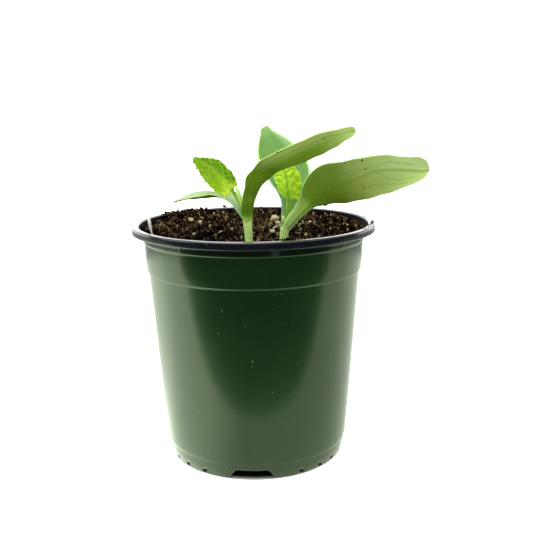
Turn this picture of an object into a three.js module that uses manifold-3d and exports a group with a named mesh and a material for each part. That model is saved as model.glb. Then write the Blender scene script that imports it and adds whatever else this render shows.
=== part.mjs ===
// Two zucchini seedlings in a round nursery pot. Millimetres, +Z up.
// The origin is the centre of the pot's underside, on the surface it stands on; -Y is the front.
import * as THREE from "three";
import { mergeVertices } from "three/addons/utils/BufferGeometryUtils.js";
import Module from "manifold-3d";

const wasm = await Module();
wasm.setup();

// Pot: outer radii and heights, from the ground up.
const POT_HEIGHT = 160.2;
const LIP = { radius: 82.5, inner: 77.6, drop: 4.9, thick: 1.6, skirt: 0.9, round: 1.4 }; // open below its curl
const COLLAR_TOP_RADIUS = 76.4;
const UPPER_LEDGE = { z: 150.0, above: 74.4, below: 73.9 };
const LOWER_LEDGE = { z: 129.8, above: 72.6, below: 71.4 };
const HEEL = { z: 10.3, r: 62.5 };
const FOOT_RADIUS = 59.8;
const FOOT_WIDTH = 6.0;
const FLOOR_Z = 6.4; // underside of the raised floor
const PAD_RADIUS = 14.0; // the flat pad in the middle reaches the ground
const WALL = 1.1;
const POT_SEGMENTS = 64;

// The heel is notched right round: each third has one wide notch and four narrow ones. Angles in degrees.
const THIRDS = 3;
const NOTCH_TURN = -1.5;
const WIDE_NOTCH = { height: 5.6, topWidth: 24, footWidth: 36 };
const NARROW_NOTCH = { height: 3.4, topWidth: 3.4, footWidth: 4.8 };
const NARROW_ANGLES = [34, 52, 68, 86];
const NOTCH_INWARDS = 7;
const NOTCH_OUTWARDS = 8;

// Potting mix: its level, which climbs towards the back, and the heaps and hollows on it.
const SOIL_Z = 153.0;
const SOIL_CLIMB = 4.8; // from the front of the pot to its back
const SOIL_RINGS = 7;
const HEAPS = [
  { x: -47, y: 57, rise: 2.6, reach: 8 },
  { x: 0, y: 66, rise: 0.7, reach: 30 },
  { x: 58, y: 42, rise: -0.9, reach: 15 },
];
const GAP = 0.3; // clearance kept between touching pieces

// Stake label: a thin strip, pointed below and mostly buried.
const LABEL = { width: 12, thickness: 0.7, length: 98, point: 16, shown: 17 };
const LABEL_AT = { x: -68.4, y: -12 };
const LABEL_LEAN = 6; // degrees, its top away from the plants
const LABEL_TURN = 12; // degrees about its length

// Stems: axis points from the tap root's tip up to the node where the leaves join, each with a radius.
const LEFT_STEM = [
  { at: [-8, -41, 88], r: 0.5 },
  { at: [-5, -43, 108], r: 1.4 },
  { at: [-3.4, -44.6, 130], r: 2.2 },
  { at: [-3.2, -45, 147], r: 2.4 },
  { at: [-3.3, -45, 157], r: 2.5 },
  { at: [-4.1, -45, 170], r: 2.95 },
];
const RIGHT_STEM = [
  { at: [22, -33, 92], r: 0.5 },
  { at: [20, -31, 110], r: 1.5 },
  { at: [19, -29, 132], r: 2.3 },
  { at: [19, -28.7, 150], r: 2.6 },
  { at: [20.3, -28.5, 161.4], r: 3.0 },
];

// Leaves: the midrib's points, the half width at each, the turn about the midrib in degrees, the side
// that the upper face looks to, and the thickness of the stalk and of the blade.
const LEAVES = {
  left_true_leaf: {
    mid: [[-5.2, -44.8, 170.6], [-8.2, -44.4, 178.5], [-12.4, -43.6, 185.5], [-19, -44.6, 192.5],
      [-28.5, -47, 200.4], [-36.4, -48.6, 207]],
    half: [1.1, 1.1, 3.6, 11.6, 10, 0.8],
    turn: [0, 0, 0, 2, 3, 2],
    cup: 0.1,
    faces: [0.1, -0.6, 0.8],
    stalk: 2.0,
    blade: 0.9,
  },
  left_cotyledon_right: {
    mid: [[-3.6, -46.8, 170.4], [-2.7, -48.4, 180.3], [3, -49.5, 193], [15.5, -52.5, 203], [35, -53, 211.5],
      [52.5, -52.3, 218.8], [62.4, -51.8, 224.2]],
    half: [3.2, 4.8, 8.4, 10.4, 11.7, 8.4, 1.0],
    turn: [0, 0, 0, -1, 0, 1, 1],
    cup: 0.1,
    faces: [-0.3, 0.6, 0.75],
    stalk: 3.4,
    blade: 1.5,
  },
  left_cotyledon_left: {
    mid: [[-5.6, -42.9, 170.4], [-11.5, -41, 178.5], [-19, -37, 183.2], [-30, -28.5, 182.3],
      [-42, -19.5, 180.4], [-53, -13, 176.6]],
    half: [3.0, 4.6, 8.2, 10.4, 8, 0.8],
    turn: [8, 6, 4, 0, 6, 4],
    cup: 0.11,
    faces: [0, -0.1, 1],
    stalk: 3.0,
    blade: 1.5,
  },
  right_true_leaf: {
    mid: [[20.9, -28.8, 162.2], [22.2, -29.1, 172], [22.6, -28.9, 180], [23, -28.2, 187], [21.4, -26.6, 194.5],
      [19.4, -25, 203]],
    half: [1.0, 1.1, 4.2, 8.2, 7.6, 0.8],
    turn: [0, 0, 0, 0, 2, 0],
    cup: 0.25,
    faces: [0.3, -0.8, 0.5],
    stalk: 1.9,
    blade: 0.9,
  },
  right_cotyledon_right: {
    mid: [[22.3, -30.4, 161.8], [26, -31.6, 167], [35, -34, 177.2], [46, -35.4, 185.2], [60, -37.5, 189],
      [78, -38, 192.3], [97, -36, 195], [112, -33.5, 197]],
    half: [3.2, 4.2, 7.2, 15.2, 17.4, 16.9, 12.2, 0.8],
    turn: [0, 0, 1, 3, 1, 1, 0, 1],
    cup: 0.13,
    faces: [-0.2, 0.8, 0.5],
    stalk: 3.2,
    blade: 1.5,
  },
  right_cotyledon_back: {
    mid: [[19.4, -26.6, 162.0], [21.4, -24, 175.5], [23.2, -19, 186], [21.8, -13.4, 197.5], [13.4, -8.6, 212.5],
      [8.4, -6.2, 225.4]],
    half: [2.4, 4.0, 10.4, 15.2, 11.9, 0.8],
    turn: [0, 1, 2, -2, -2, 1],
    cup: 0.07,
    faces: [0.1, -0.9, 0.35],
    stalk: 2.8,
    blade: 1.4,
  },
};
const LEAF_STEPS = 16;
const ACROSS = 4; // strips across a blade
const EDGE_SHARE = 0.3; // thickness of a blade's edge as a share of its middle
const STEM_SIDES = 10;
const STEM_STEPS = 10;

// Shoot buds: axis points with radii, from the node up.
const LEFT_BUD = [
  { at: [-6.6, -45.4, 171.4], r: 0.6 },
  { at: [-7.2, -45.5, 176], r: 0.7 },
  { at: [-7.6, -45.6, 180], r: 1.4 },
  { at: [-7.9, -45.6, 183.4], r: 0.35 },
];
const RIGHT_BUD = [
  { at: [19.2, -29.4, 162.6], r: 0.6 },
  { at: [19.2, -30.2, 165.4], r: 1.2 },
  { at: [19.0, -30.6, 168.4], r: 0.35 },
];

const pot_green = new THREE.MeshStandardMaterial({ color: 0x1d3a1c, roughness: 0.35, metalness: 0 });
const peat = new THREE.MeshStandardMaterial({ color: 0x33261a, roughness: 0.95, metalness: 0 });
const stem_green = new THREE.MeshStandardMaterial({ color: 0x9cc268, roughness: 0.55, metalness: 0 });
const cotyledon_green = new THREE.MeshStandardMaterial({ color: 0x76993a, roughness: 0.5, metalness: 0 });
const leaf_lime = new THREE.MeshStandardMaterial({ color: 0x8fb41e, roughness: 0.6, metalness: 0 });
const label_white = new THREE.MeshStandardMaterial({ color: 0xe6eaee, roughness: 0.4, metalness: 0 });

// A closed geometry as a manifold solid.
function solid(geometry) {
  const bare = geometry.clone();
  bare.deleteAttribute("normal");
  bare.deleteAttribute("uv");
  const merged = mergeVertices(bare, 1e-3);
  const triVerts = [];
  for (let i = 0; i < merged.index.count; i += 3) {
    const [a, b, c] = [0, 1, 2].map((k) => merged.index.getX(i + k));
    if (a !== b && b !== c && c !== a) triVerts.push(a, b, c);
  }
  return new wasm.Manifold(
    new wasm.Mesh({
      numProp: 3,
      vertProperties: new Float32Array(merged.attributes.position.array),
      triVerts: new Uint32Array(triVerts),
    }),
  );
}

// A manifold solid as a geometry.
function geometryOf(shape) {
  const mesh = shape.getMesh();
  return new THREE.BufferGeometry()
    .setAttribute("position", new THREE.BufferAttribute(new Float32Array(mesh.vertProperties), 3))
    .setIndex(new THREE.BufferAttribute(new Uint32Array(mesh.triVerts), 1));
}

// A solid of revolution about Z from [radius, z] points that start and end on the axis.
function turned(points) {
  const profile = points.map(([r, z]) => new THREE.Vector2(r, z));
  return new THREE.LatheGeometry(profile, POT_SEGMENTS).rotateX(Math.PI / 2);
}

// Rings of points, each a closed loop of the same count, as a closed skin with flat ends.
function loft(rings) {
  const count = rings[0].length;
  const position = rings.flat().flatMap((p) => [p.x, p.y, p.z]);
  const index = [];
  for (let i = 0; i + 1 < rings.length; i++) {
    for (let j = 0; j < count; j++) {
      const a = i * count + j;
      const b = i * count + ((j + 1) % count);
      index.push(a, b, a + count, b, b + count, a + count);
    }
  }
  // Each end is closed by strips between a ring's first half and its second half.
  const last = (rings.length - 1) * count;
  for (let j = 0; j < count / 2 - 1; j++) {
    const [a, b, c, d] = [j, j + 1, count - 2 - j, count - 1 - j];
    index.push(a, d, b, b, d, c);
    index.push(last + a, last + b, last + d, last + b, last + c, last + d);
  }
  return new THREE.BufferGeometry()
    .setAttribute("position", new THREE.Float32BufferAttribute(position, 3))
    .setIndex(index);
}

function curveOf(points) {
  return new THREE.CatmullRomCurve3(points.map((p) => new THREE.Vector3(...p)), false, "catmullrom", 0.5);
}

// A round tapering tube along axis points with radii, thicker by grow all over.
function tapered(stations, grow = 0) {
  const axis = curveOf(stations.map((s) => s.at));
  const radius = curveOf(stations.map((s) => [s.r, 0, 0]));
  const rings = [];
  for (let i = 0; i <= STEM_STEPS; i++) {
    const t = i / STEM_STEPS;
    const tangent = axis.getTangent(t);
    const side = new THREE.Vector3(0, 1, 0).cross(tangent).normalize();
    const front = tangent.clone().cross(side);
    const reach = i === 0 ? -grow : i === STEM_STEPS ? grow : 0;
    const centre = axis.getPoint(t).addScaledVector(tangent, reach);
    const r = radius.getPoint(t).x + grow;
    const ring = [];
    for (let j = 0; j < STEM_SIDES; j++) {
      const a = (2 * Math.PI * (j + 0.5)) / STEM_SIDES;
      const p = centre.clone().addScaledVector(side, r * Math.cos(a)).addScaledVector(front, r * Math.sin(a));
      ring.push(p);
    }
    rings.push(ring);
  }
  return loft(rings);
}

// A leaf: a flattened, cupped section carried along the midrib, thicker by grow all over.
function leaf(shape, grow = 0) {
  const { mid, half, turn, cup, faces, stalk, blade } = shape;
  const midrib = curveOf(mid);
  const size = curveOf(half.map((h, i) => [h, THREE.MathUtils.degToRad(turn[i]), 0]));
  const face = new THREE.Vector3(...faces);
  const stalkWidth = half[0];
  const rings = [];
  for (let i = 0; i <= LEAF_STEPS; i++) {
    const t = i / LEAF_STEPS;
    const tangent = midrib.getTangent(t);
    const { x: width, y: angle } = size.getPoint(t);
    const side = tangent.clone().cross(face).normalize();
    const up = side.clone().cross(tangent);
    side.applyAxisAngle(tangent, angle);
    up.applyAxisAngle(tangent, angle);
    const reach = i === 0 ? -grow : i === LEAF_STEPS ? grow : 0;
    const centre = midrib.getPoint(t).addScaledVector(tangent, reach);
    const spread = THREE.MathUtils.smoothstep(width / stalkWidth, 1, 3);
    const tip = Math.min(1, 0.45 + width / 4);
    const thick = THREE.MathUtils.lerp(stalk, blade, Math.max(spread, t > 0.5 ? 1 : 0)) * tip;
    const row = (sign) => {
      const points = [];
      for (let j = 0; j <= ACROSS; j++) {
        const v = (2 * j) / ACROSS - 1;
        const deep = (thick / 2) * (EDGE_SHARE + (1 - EDGE_SHARE) * (1 - v * v)) + grow;
        const lift = cup * v * v * width + sign * deep;
        points.push(centre.clone().addScaledVector(side, v * (width + grow)).addScaledVector(up, lift));
      }
      return points;
    };
    rings.push([...row(1), ...row(-1).reverse()]);
  }
  return loft(rings);
}

// The pot's profile from the centre of the pad out and up to the collar, moved inwards by inset.
function wallProfile(inset) {
  const foot = FOOT_RADIUS - FOOT_WIDTH;
  const lag = inset > WALL ? 1.4 * (inset - WALL) : 0; // what lies inside the wall widens just above each ledge
  return [
    [0, inset],
    [PAD_RADIUS - inset, inset],
    [PAD_RADIUS + 2.5 - inset, FLOOR_Z + inset],
    [foot - 1.5 + inset, FLOOR_Z + inset],
    [foot + inset, inset],
    [FOOT_RADIUS - inset, inset],
    [HEEL.r - inset, HEEL.z],
    [LOWER_LEDGE.below - inset, LOWER_LEDGE.z - 1 + lag],
    [LOWER_LEDGE.above - inset, LOWER_LEDGE.z + lag],
    [UPPER_LEDGE.below - inset, UPPER_LEDGE.z - 0.8 + lag],
    [UPPER_LEDGE.above - inset, UPPER_LEDGE.z + lag],
  ];
}

// The wedge that a notch takes out of the heel, thicker by grow, at an angle round the pot.
function wedge(shape, angle, grow) {
  const halfTop = shape.topWidth / 2 + grow;
  const halfFoot = shape.footWidth / 2 + grow;
  const outline = new THREE.Shape([
    new THREE.Vector2(-halfFoot, -1),
    new THREE.Vector2(halfFoot, -1),
    new THREE.Vector2(halfTop, shape.height + grow),
    new THREE.Vector2(-halfTop, shape.height + grow),
  ]);
  const depth = NOTCH_OUTWARDS + NOTCH_INWARDS + grow;
  return new THREE.ExtrudeGeometry(outline, { depth, bevelEnabled: false })
    .rotateX(Math.PI / 2)
    .translate(0, -FOOT_RADIUS + NOTCH_INWARDS + grow, 0)
    .rotateZ(THREE.MathUtils.degToRad(NOTCH_TURN + angle));
}

function notched(shape, grow) {
  let cut = shape;
  for (let third = 0; third < 360; third += 360 / THIRDS) {
    cut = cut.subtract(solid(wedge(WIDE_NOTCH, third, grow)));
    for (const angle of NARROW_ANGLES) cut = cut.subtract(solid(wedge(NARROW_NOTCH, third + angle, grow)));
  }
  return cut;
}

// The curl of the lip, from the top of the collar out, down, round its rim and back over its top.
function lipProfile() {
  const under = POT_HEIGHT - LIP.drop;
  return [
    [COLLAR_TOP_RADIUS, under],
    [LIP.inner, POT_HEIGHT - LIP.thick],
    [LIP.radius - 2 * LIP.skirt, POT_HEIGHT - LIP.thick],
    [LIP.radius - 1.3 * LIP.skirt, under],
    [LIP.radius - 0.3 * LIP.skirt, under],
    [LIP.radius, under + LIP.skirt / 2],
    [LIP.radius, POT_HEIGHT - LIP.round],
    [LIP.radius - 0.4 * LIP.round, POT_HEIGHT - 0.4 * LIP.round],
    [LIP.radius - LIP.round, POT_HEIGHT],
    [0, POT_HEIGHT],
  ];
}

function pot() {
  const outside = solid(turned([...wallProfile(0), ...lipProfile()]));
  const inside = solid(turned([
    ...wallProfile(WALL),
    [COLLAR_TOP_RADIUS - WALL, POT_HEIGHT - LIP.drop],
    [LIP.inner - 0.8, POT_HEIGHT - 0.9],
    [LIP.inner, POT_HEIGHT + 1],
    [0, POT_HEIGHT + 1],
  ]));
  return geometryOf(notched(outside, 0).subtract(notched(inside, WALL)));
}

function label(grow = 0) {
  const half = LABEL.width / 2 + grow;
  const outline = new THREE.Shape([
    new THREE.Vector2(-1.5, -LABEL.length - grow),
    new THREE.Vector2(1.5, -LABEL.length - grow),
    new THREE.Vector2(half, -LABEL.length + LABEL.point),
    new THREE.Vector2(half, -1.5),
    new THREE.Vector2(half - 1.5, grow),
    new THREE.Vector2(1.5 - half, grow),
    new THREE.Vector2(-half, -1.5),
    new THREE.Vector2(-half, -LABEL.length + LABEL.point),
  ]);
  const depth = LABEL.thickness + 2 * grow;
  return new THREE.ExtrudeGeometry(outline, { depth, bevelEnabled: false })
    .translate(0, LABEL.shown, -depth / 2)
    .rotateX(Math.PI / 2)
    .rotateZ(Math.PI / 2 + THREE.MathUtils.degToRad(LABEL_TURN))
    .rotateY(THREE.MathUtils.degToRad(-LABEL_LEAN))
    .translate(LABEL_AT.x, LABEL_AT.y, SOIL_Z + soilRise(LABEL_AT.x, LABEL_AT.y));
}

function soilRise(x, y) {
  const slope = SOIL_CLIMB * ((y + UPPER_LEDGE.above) / (2 * UPPER_LEDGE.above)) ** 2;
  const rolls = 0.2 * Math.sin(x / 7 + 1) * Math.cos(y / 9);
  const heaps = HEAPS.map((h) => h.rise * Math.exp(-((x - h.x) ** 2 + (y - h.y) ** 2) / h.reach ** 2));
  return heaps.reduce((sum, rise) => sum + rise, slope + rolls);
}

// The mix fills the pot inside its wall, with a pocket for each stem and for the label.
function pottingMix(buried) {
  const edge = UPPER_LEDGE.above - WALL - GAP + 0.6;
  const top = [];
  for (let k = SOIL_RINGS; k >= 0; k--) top.push([(edge * k) / SOIL_RINGS, SOIL_Z]);
  const block = turned([...wallProfile(WALL + GAP), ...top]);
  const place = block.attributes.position;
  for (let i = 0; i < place.count; i++) {
    if (place.getZ(i) < SOIL_Z - 0.01) continue;
    place.setZ(i, SOIL_Z + soilRise(place.getX(i), place.getY(i)));
  }
  let shape = notched(solid(block), WALL + GAP);
  for (const piece of buried) shape = shape.subtract(solid(piece));
  return geometryOf(shape);
}

// Each piece as a solid, cut back by the gap from the pieces that were there before it.
function seated(piece, earlier) {
  let shape = solid(piece);
  for (const grown of earlier) shape = shape.subtract(solid(grown));
  return geometryOf(shape);
}

const plant = new THREE.Group();

function add(name, geometry, material) {
  const mesh = new THREE.Mesh(geometry, material);
  mesh.name = name;
  plant.add(mesh);
}

// One seedling: its stem, then the true leaf and the bud, then the two cotyledons that clasp them.
function seedling(side, stem, bud, cotyledons) {
  const trueLeaf = LEAVES[side + "_true_leaf"];
  add(side + "_stem", tapered(stem), stem_green);
  const taken = [tapered(stem, GAP)];
  add(side + "_true_leaf", seated(leaf(trueLeaf), taken), leaf_lime);
  taken.push(leaf(trueLeaf, GAP));
  add(side + "_shoot_bud", seated(tapered(bud), taken), leaf_lime);
  taken.push(tapered(bud, GAP));
  for (const name of cotyledons) {
    add(name, seated(leaf(LEAVES[name]), taken), cotyledon_green);
    taken.push(leaf(LEAVES[name], GAP));
  }
}

add("pot", pot(), pot_green);
add("potting_mix", pottingMix([tapered(LEFT_STEM, GAP), tapered(RIGHT_STEM, GAP), label(GAP)]), peat);
add("plant_label", label(), label_white);
seedling("left", LEFT_STEM, LEFT_BUD, ["left_cotyledon_right", "left_cotyledon_left"]);
seedling("right", RIGHT_STEM, RIGHT_BUD, ["right_cotyledon_right", "right_cotyledon_back"]);

export default plant;
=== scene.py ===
import math

import bmesh
import bpy
import numpy as np
from mathutils import Matrix, Vector


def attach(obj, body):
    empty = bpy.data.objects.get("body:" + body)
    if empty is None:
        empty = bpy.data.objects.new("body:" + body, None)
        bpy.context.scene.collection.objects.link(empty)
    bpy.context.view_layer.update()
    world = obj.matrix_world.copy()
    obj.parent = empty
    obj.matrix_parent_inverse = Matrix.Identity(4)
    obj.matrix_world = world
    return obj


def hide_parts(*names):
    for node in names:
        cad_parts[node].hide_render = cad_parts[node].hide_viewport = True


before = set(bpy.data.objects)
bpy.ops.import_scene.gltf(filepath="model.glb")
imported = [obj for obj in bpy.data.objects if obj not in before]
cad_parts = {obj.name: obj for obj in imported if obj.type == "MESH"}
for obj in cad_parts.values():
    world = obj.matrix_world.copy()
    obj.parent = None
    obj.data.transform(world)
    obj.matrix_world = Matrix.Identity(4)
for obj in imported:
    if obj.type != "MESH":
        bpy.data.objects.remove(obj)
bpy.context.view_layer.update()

MM = 0.001
PER_MM = 1000  # turns waves or cells to the millimetre into a pattern's scale

# ---------------------------------------------------------------------------------------------
# Camera and studio. A small still-life set: a white sheet lit from below, soft light from all
# round, and a table, a black screen and a white backdrop that only show in reflections.
# ---------------------------------------------------------------------------------------------
CAMERA_AT = (0, -532.9, 240.4)  # mm
CAMERA_PITCH = 11.82  # degrees down
CAMERA_YAW = 0.9
CAMERA_ROLL = -0.75
FRAME_WIDTH = 36  # mm, and square
FOCAL_LENGTH = 53.28

camera = bpy.data.objects.new("camera", bpy.data.cameras.new("camera"))
camera.data.sensor_width = FRAME_WIDTH
camera.data.lens = FOCAL_LENGTH
camera.data.clip_start = 0.01
camera.matrix_world = (
    Matrix.Translation(Vector(CAMERA_AT) * MM)
    @ Matrix.Rotation(math.radians(-CAMERA_YAW), 4, "Z")
    @ Matrix.Rotation(math.radians(90 - CAMERA_PITCH), 4, "X")
    @ Matrix.Rotation(math.radians(CAMERA_ROLL), 4, "Z")
)
bpy.context.scene.collection.objects.link(camera)
bpy.context.scene.camera = camera
bpy.context.scene.view_settings.view_transform = "Standard"


def colour(code):
    """An sRGB hex colour as a linear one. Anything else is given back as it is."""
    if not str(code).startswith("#"):
        return code
    parts = [int(code[i : i + 2], 16) / 255 for i in (1, 3, 5)]
    return tuple(c / 12.92 if c <= 0.04045 else ((c + 0.055) / 1.055) ** 2.4 for c in parts) + (1.0,)


def wire(node, sockets):
    """Fills a node's sockets from constants, hex colours, outputs, or nodes whose first output is meant."""
    for key, value in sockets.items():
        if isinstance(value, bpy.types.Node):
            value = next(output for output in value.outputs if output.enabled)
        if isinstance(value, bpy.types.NodeSocket):
            node.id_data.links.new(value, node.inputs[key])
        else:
            node.inputs[key].default_value = colour(value)


def add(tree, kind, sockets=None, stops=None, **settings):
    """A node with its settings, its sockets and the colour stops of a ramp."""
    made = tree.nodes.new(kind)
    for key, value in settings.items():
        setattr(made, key, value)
    wire(made, sockets or {})
    for i, (at, shade) in enumerate(stops or []):
        ramp = made.color_ramp.elements
        stop = ramp[i] if i < 2 else ramp.new(at)
        stop.position = at
        stop.color = colour(shade)
    return made


def finish_named(name, **sockets):
    """A new material with one Principled surface, whose uniform values are set on its own sockets."""
    made = bpy.data.materials.new(name)
    made.use_nodes = True
    tree = made.node_tree
    tree.nodes.clear()
    values = {key.replace("_", " "): value for key, value in sockets.items()}
    surface = add(tree, "ShaderNodeBsdfPrincipled", values)
    add(tree, "ShaderNodeOutputMaterial", {"Surface": surface})
    return made, tree, surface


def mesh_object(name, points, faces, materials, smooth=True):
    """A mesh from points in millimetres, linked to the scene, with its place in its vertices."""
    mesh = bpy.data.meshes.new(name)
    mesh.from_pydata((np.asarray(points) * MM).tolist(), [], faces)
    for made in materials:
        mesh.materials.append(made)
    mesh.polygons.foreach_set("use_smooth", [smooth] * len(mesh.polygons))
    mesh.validate()
    made = bpy.data.objects.new(name, mesh)
    bpy.context.scene.collection.objects.link(made)
    return made


# White vinyl sheet, matt. Outside the pot's foot it carries a painted glow, bright enough that only the
# contact shadow shows on it; under the pot it is painted dark, a painted shadow seen through the notches.
FLOOR_HALF = 3000
UNDER_POT = 54.0  # mm from the pot's axis, where the sheet is dark
GLOW_STARTS, GLOW_FULL = 59.7, 60.5
PAINTED_GLOW = 1.1
sheet_white, tree, surface = finish_named("white_vinyl_sheet", Roughness=0.7, Emission_Color="#ffffff")
place = add(tree, "ShaderNodeTexCoord").outputs["Object"]
grain = add(tree, "ShaderNodeTexNoise", {"Vector": place, "Scale": 0.9 * PER_MM})
vinyl_bump = add(tree, "ShaderNodeBump", {"Height": grain, "Strength": 0.03, "Distance": 0.2 * MM})
from_axis = add(tree, "ShaderNodeVectorMath", {0: place}, operation="LENGTH")
# painted glow: the sheet glows from the pot's foot outwards, painted light that takes out the pot's shadow
painted_glow = add(
    tree, "ShaderNodeMapRange",
    {"Value": from_axis, "From Min": GLOW_STARTS * MM, "From Max": GLOW_FULL * MM, "To Max": PAINTED_GLOW},
    interpolation_type="SMOOTHSTEP",
)
# painted shadow: under the pot the sheet is painted nearly black
clear_of_pot = add(
    tree, "ShaderNodeMapRange",
    {"Value": from_axis, "From Min": UNDER_POT * MM, "From Max": GLOW_STARTS * MM},
    interpolation_type="SMOOTHSTEP",
)
painted_pot_shadow = add(
    tree, "ShaderNodeMix", {"Factor": clear_of_pot, "A": "#24231f", "B": "#f4f4f4"}, data_type="RGBA"
)
wire(surface, {"Base Color": painted_pot_shadow, "Emission Strength": painted_glow, "Normal": vinyl_bump})


def level_square(half, level):
    """The corners of a level square round the pot's axis."""
    return [(x * half, y * half, level) for x, y in [(-1, -1), (1, -1), (1, 1), (-1, 1)]]


floor = mesh_object("floor", level_square(FLOOR_HALF, 0), [(0, 1, 2, 3)], [sheet_white])


def mirrored_only(name, points, faces, material):
    """A part of the studio that shows in reflections alone."""
    made = mesh_object(name, points, faces, [material])
    made.visible_camera = False
    made.visible_diffuse = False
    made.visible_shadow = False
    made.visible_transmission = False


# What the glossy pot mirrors: the table, whose white sheet ends in soft shadow just in front of the pot
# and is brightest on the window's side, and a black screen round the front of the set.
TABLE_REACH = 2400
TABLE_LEVEL = 0.4
SHEET_EDGE = 163  # mm in front of the pot's axis, at its middle
EDGE_SLANT_LEFT, EDGE_SLANT_RIGHT = 0.02, 0.06
SHADOW_STARTS, SHADOW_ENDS = SHEET_EDGE - 30, SHEET_EDGE + 270
# how much light is left on the sheet, from the start of that shadow to its end
SHADOW_STOPS = [(0.0, 1), (0.06, 0.45), (0.13, 0.26), (0.27, 0.11), (0.55, 0.02), (1.0, 0)]
POT_FOOT, SHEET_SHOWS = 59.0, 60.2  # mm from the pot's axis
TABLE_FADES, TABLE_ENDS = 620, 690
SHEET_LIGHT, WINDOW_LIGHT = 1.2, 1.36
ROOM_LIGHT, BACK_LIGHT = 0.18, 0.9  # shares of the table's own
mirrored_table, tree, surface = finish_named("mirrored_table", Base_Color="#000000")
place = add(tree, "ShaderNodeTexCoord").outputs["Object"]
axes = add(tree, "ShaderNodeSeparateXYZ", {"Vector": place}).outputs
right = add(tree, "ShaderNodeMath", {0: axes["X"], 1: 0.0}, operation="MAXIMUM")
left = add(tree, "ShaderNodeMath", {0: axes["X"], 1: 0.0}, operation="MINIMUM")
slant = add(
    tree, "ShaderNodeMath", {0: right, 1: -EDGE_SLANT_RIGHT, 2: axes["Y"]}, operation="MULTIPLY_ADD"
)
slant = add(tree, "ShaderNodeMath", {0: left, 1: EDGE_SLANT_LEFT, 2: slant}, operation="MULTIPLY_ADD")
past_edge = add(
    tree, "ShaderNodeMapRange",
    {"Value": slant, "From Min": -SHADOW_STARTS * MM, "From Max": -SHADOW_ENDS * MM},
)
shadow = add(
    tree, "ShaderNodeValToRGB", {"Fac": past_edge},
    stops=[(at, (light, light, light, 1)) for at, light in SHADOW_STOPS],
)
flat_place = add(tree, "ShaderNodeVectorMath", {0: place, 1: (1, 1, 0)}, operation="MULTIPLY")
heading = add(tree, "ShaderNodeVectorMath", {0: flat_place}, operation="NORMALIZE")
heading = add(tree, "ShaderNodeSeparateXYZ", {"Vector": heading}).outputs
distance = add(tree, "ShaderNodeVectorMath", {0: flat_place}, operation="LENGTH")
window = add(
    tree, "ShaderNodeMapRange",
    {"Value": heading["X"], "From Min": -0.1, "From Max": -0.85, "To Max": WINDOW_LIGHT},
    interpolation_type="SMOOTHSTEP",
)
in_front = add(
    tree, "ShaderNodeMapRange",
    {"Value": heading["Y"], "From Min": 0.2, "From Max": 0.95, "To Min": 1.0, "To Max": 0.0},
    interpolation_type="SMOOTHSTEP",
)
shine = add(tree, "ShaderNodeMath", {0: window, 1: in_front, 2: SHEET_LIGHT}, operation="MULTIPLY_ADD")
# the pot's own footprint stays dark, and so does the room past the end of the table
off_foot = add(
    tree, "ShaderNodeMapRange", {"Value": distance, "From Min": POT_FOOT * MM, "From Max": SHEET_SHOWS * MM}
)
end = add(
    tree, "ShaderNodeMapRange",
    {"Value": distance, "From Min": TABLE_FADES * MM, "From Max": TABLE_ENDS * MM, "To Min": 1.0,
     "To Max": ROOM_LIGHT},
)
back = add(
    tree, "ShaderNodeMapRange",
    {"Value": heading["Y"], "From Min": 0.75, "From Max": 1.0, "To Min": ROOM_LIGHT, "To Max": BACK_LIGHT},
)
end = add(tree, "ShaderNodeMath", {0: end, 1: back}, operation="MAXIMUM")
for share in (shadow, off_foot, end):
    shine = add(tree, "ShaderNodeMath", {0: shine, 1: share}, operation="MULTIPLY")
greenish = add(
    tree, "ShaderNodeMix", {"Factor": shadow, "A": (0.5, 1.0, 0.5, 1), "B": (0.88, 1.0, 0.77, 1)},
    data_type="RGBA",
)
wire(surface, {"Emission Color": greenish, "Emission Strength": shine})
mirrored_only("mirrored_table", level_square(TABLE_REACH, TABLE_LEVEL), [(0, 1, 2, 3)], mirrored_table)

SCREEN_RADIUS = 1500
SCREEN_TOP = 700


def curved_screen(name, first, last, posts, foot, material):
    """An upright screen round part of the set, from one angle in degrees to another."""
    turns = np.radians(np.linspace(first, last, posts))
    edge = [(SCREEN_RADIUS * math.cos(t), SCREEN_RADIUS * math.sin(t)) for t in turns]
    points = [(x, y, z) for z in (foot, SCREEN_TOP) for x, y in edge]
    mirrored_only(name, points, [(i, i + 1, i + 1 + posts, i + posts) for i in range(posts - 1)], material)


screen_black, tree, surface = finish_named("black_felt", Roughness=0.95, Specular_IOR_Level=0.1)
fibres = add(tree, "ShaderNodeTexNoise", {"Scale": 0.3 * PER_MM})
felt = add(tree, "ShaderNodeValToRGB", {"Fac": fibres}, stops=[(0.3, "#030303"), (0.7, "#070807")])
wire(surface, {"Base Color": felt})
curved_screen("black_screen", first=-200, last=20, posts=23, foot=0, material=screen_black)

# the white backdrop behind, brighter than the room, which the top of the lip mirrors
backdrop_white, tree, surface = finish_named(
    "white_backdrop", Base_Color="#000000", Emission_Color="#ffffff", Emission_Strength=2.45
)
curved_screen("white_backdrop", first=165, last=15, posts=16, foot=20, material=backdrop_white)

world = bpy.data.worlds.new("studio")
world.use_nodes = True
wire(world.node_tree.nodes["Background"], {"Color": "#ffffff", "Strength": 1.25})
bpy.context.scene.world = world


def softbox(name, at, towards, size, watts):
    """A square area light, in millimetres, aimed at a point."""
    lamp = bpy.data.lights.new(name, "AREA")
    lamp.size = size * MM
    lamp.energy = watts
    made = bpy.data.objects.new(name, lamp)
    made.location = Vector(at) * MM
    made.rotation_euler = (Vector(towards) - Vector(at)).to_track_quat("-Z", "Y").to_euler()
    bpy.context.scene.collection.objects.link(made)


softbox("top_softbox", at=(-150, 100, 1100), towards=(0, 0, 160), size=700, watts=7)
softbox("left_softbox", at=(-900, -250, 500), towards=(0, 0, 120), size=600, watts=1.5)

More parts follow.
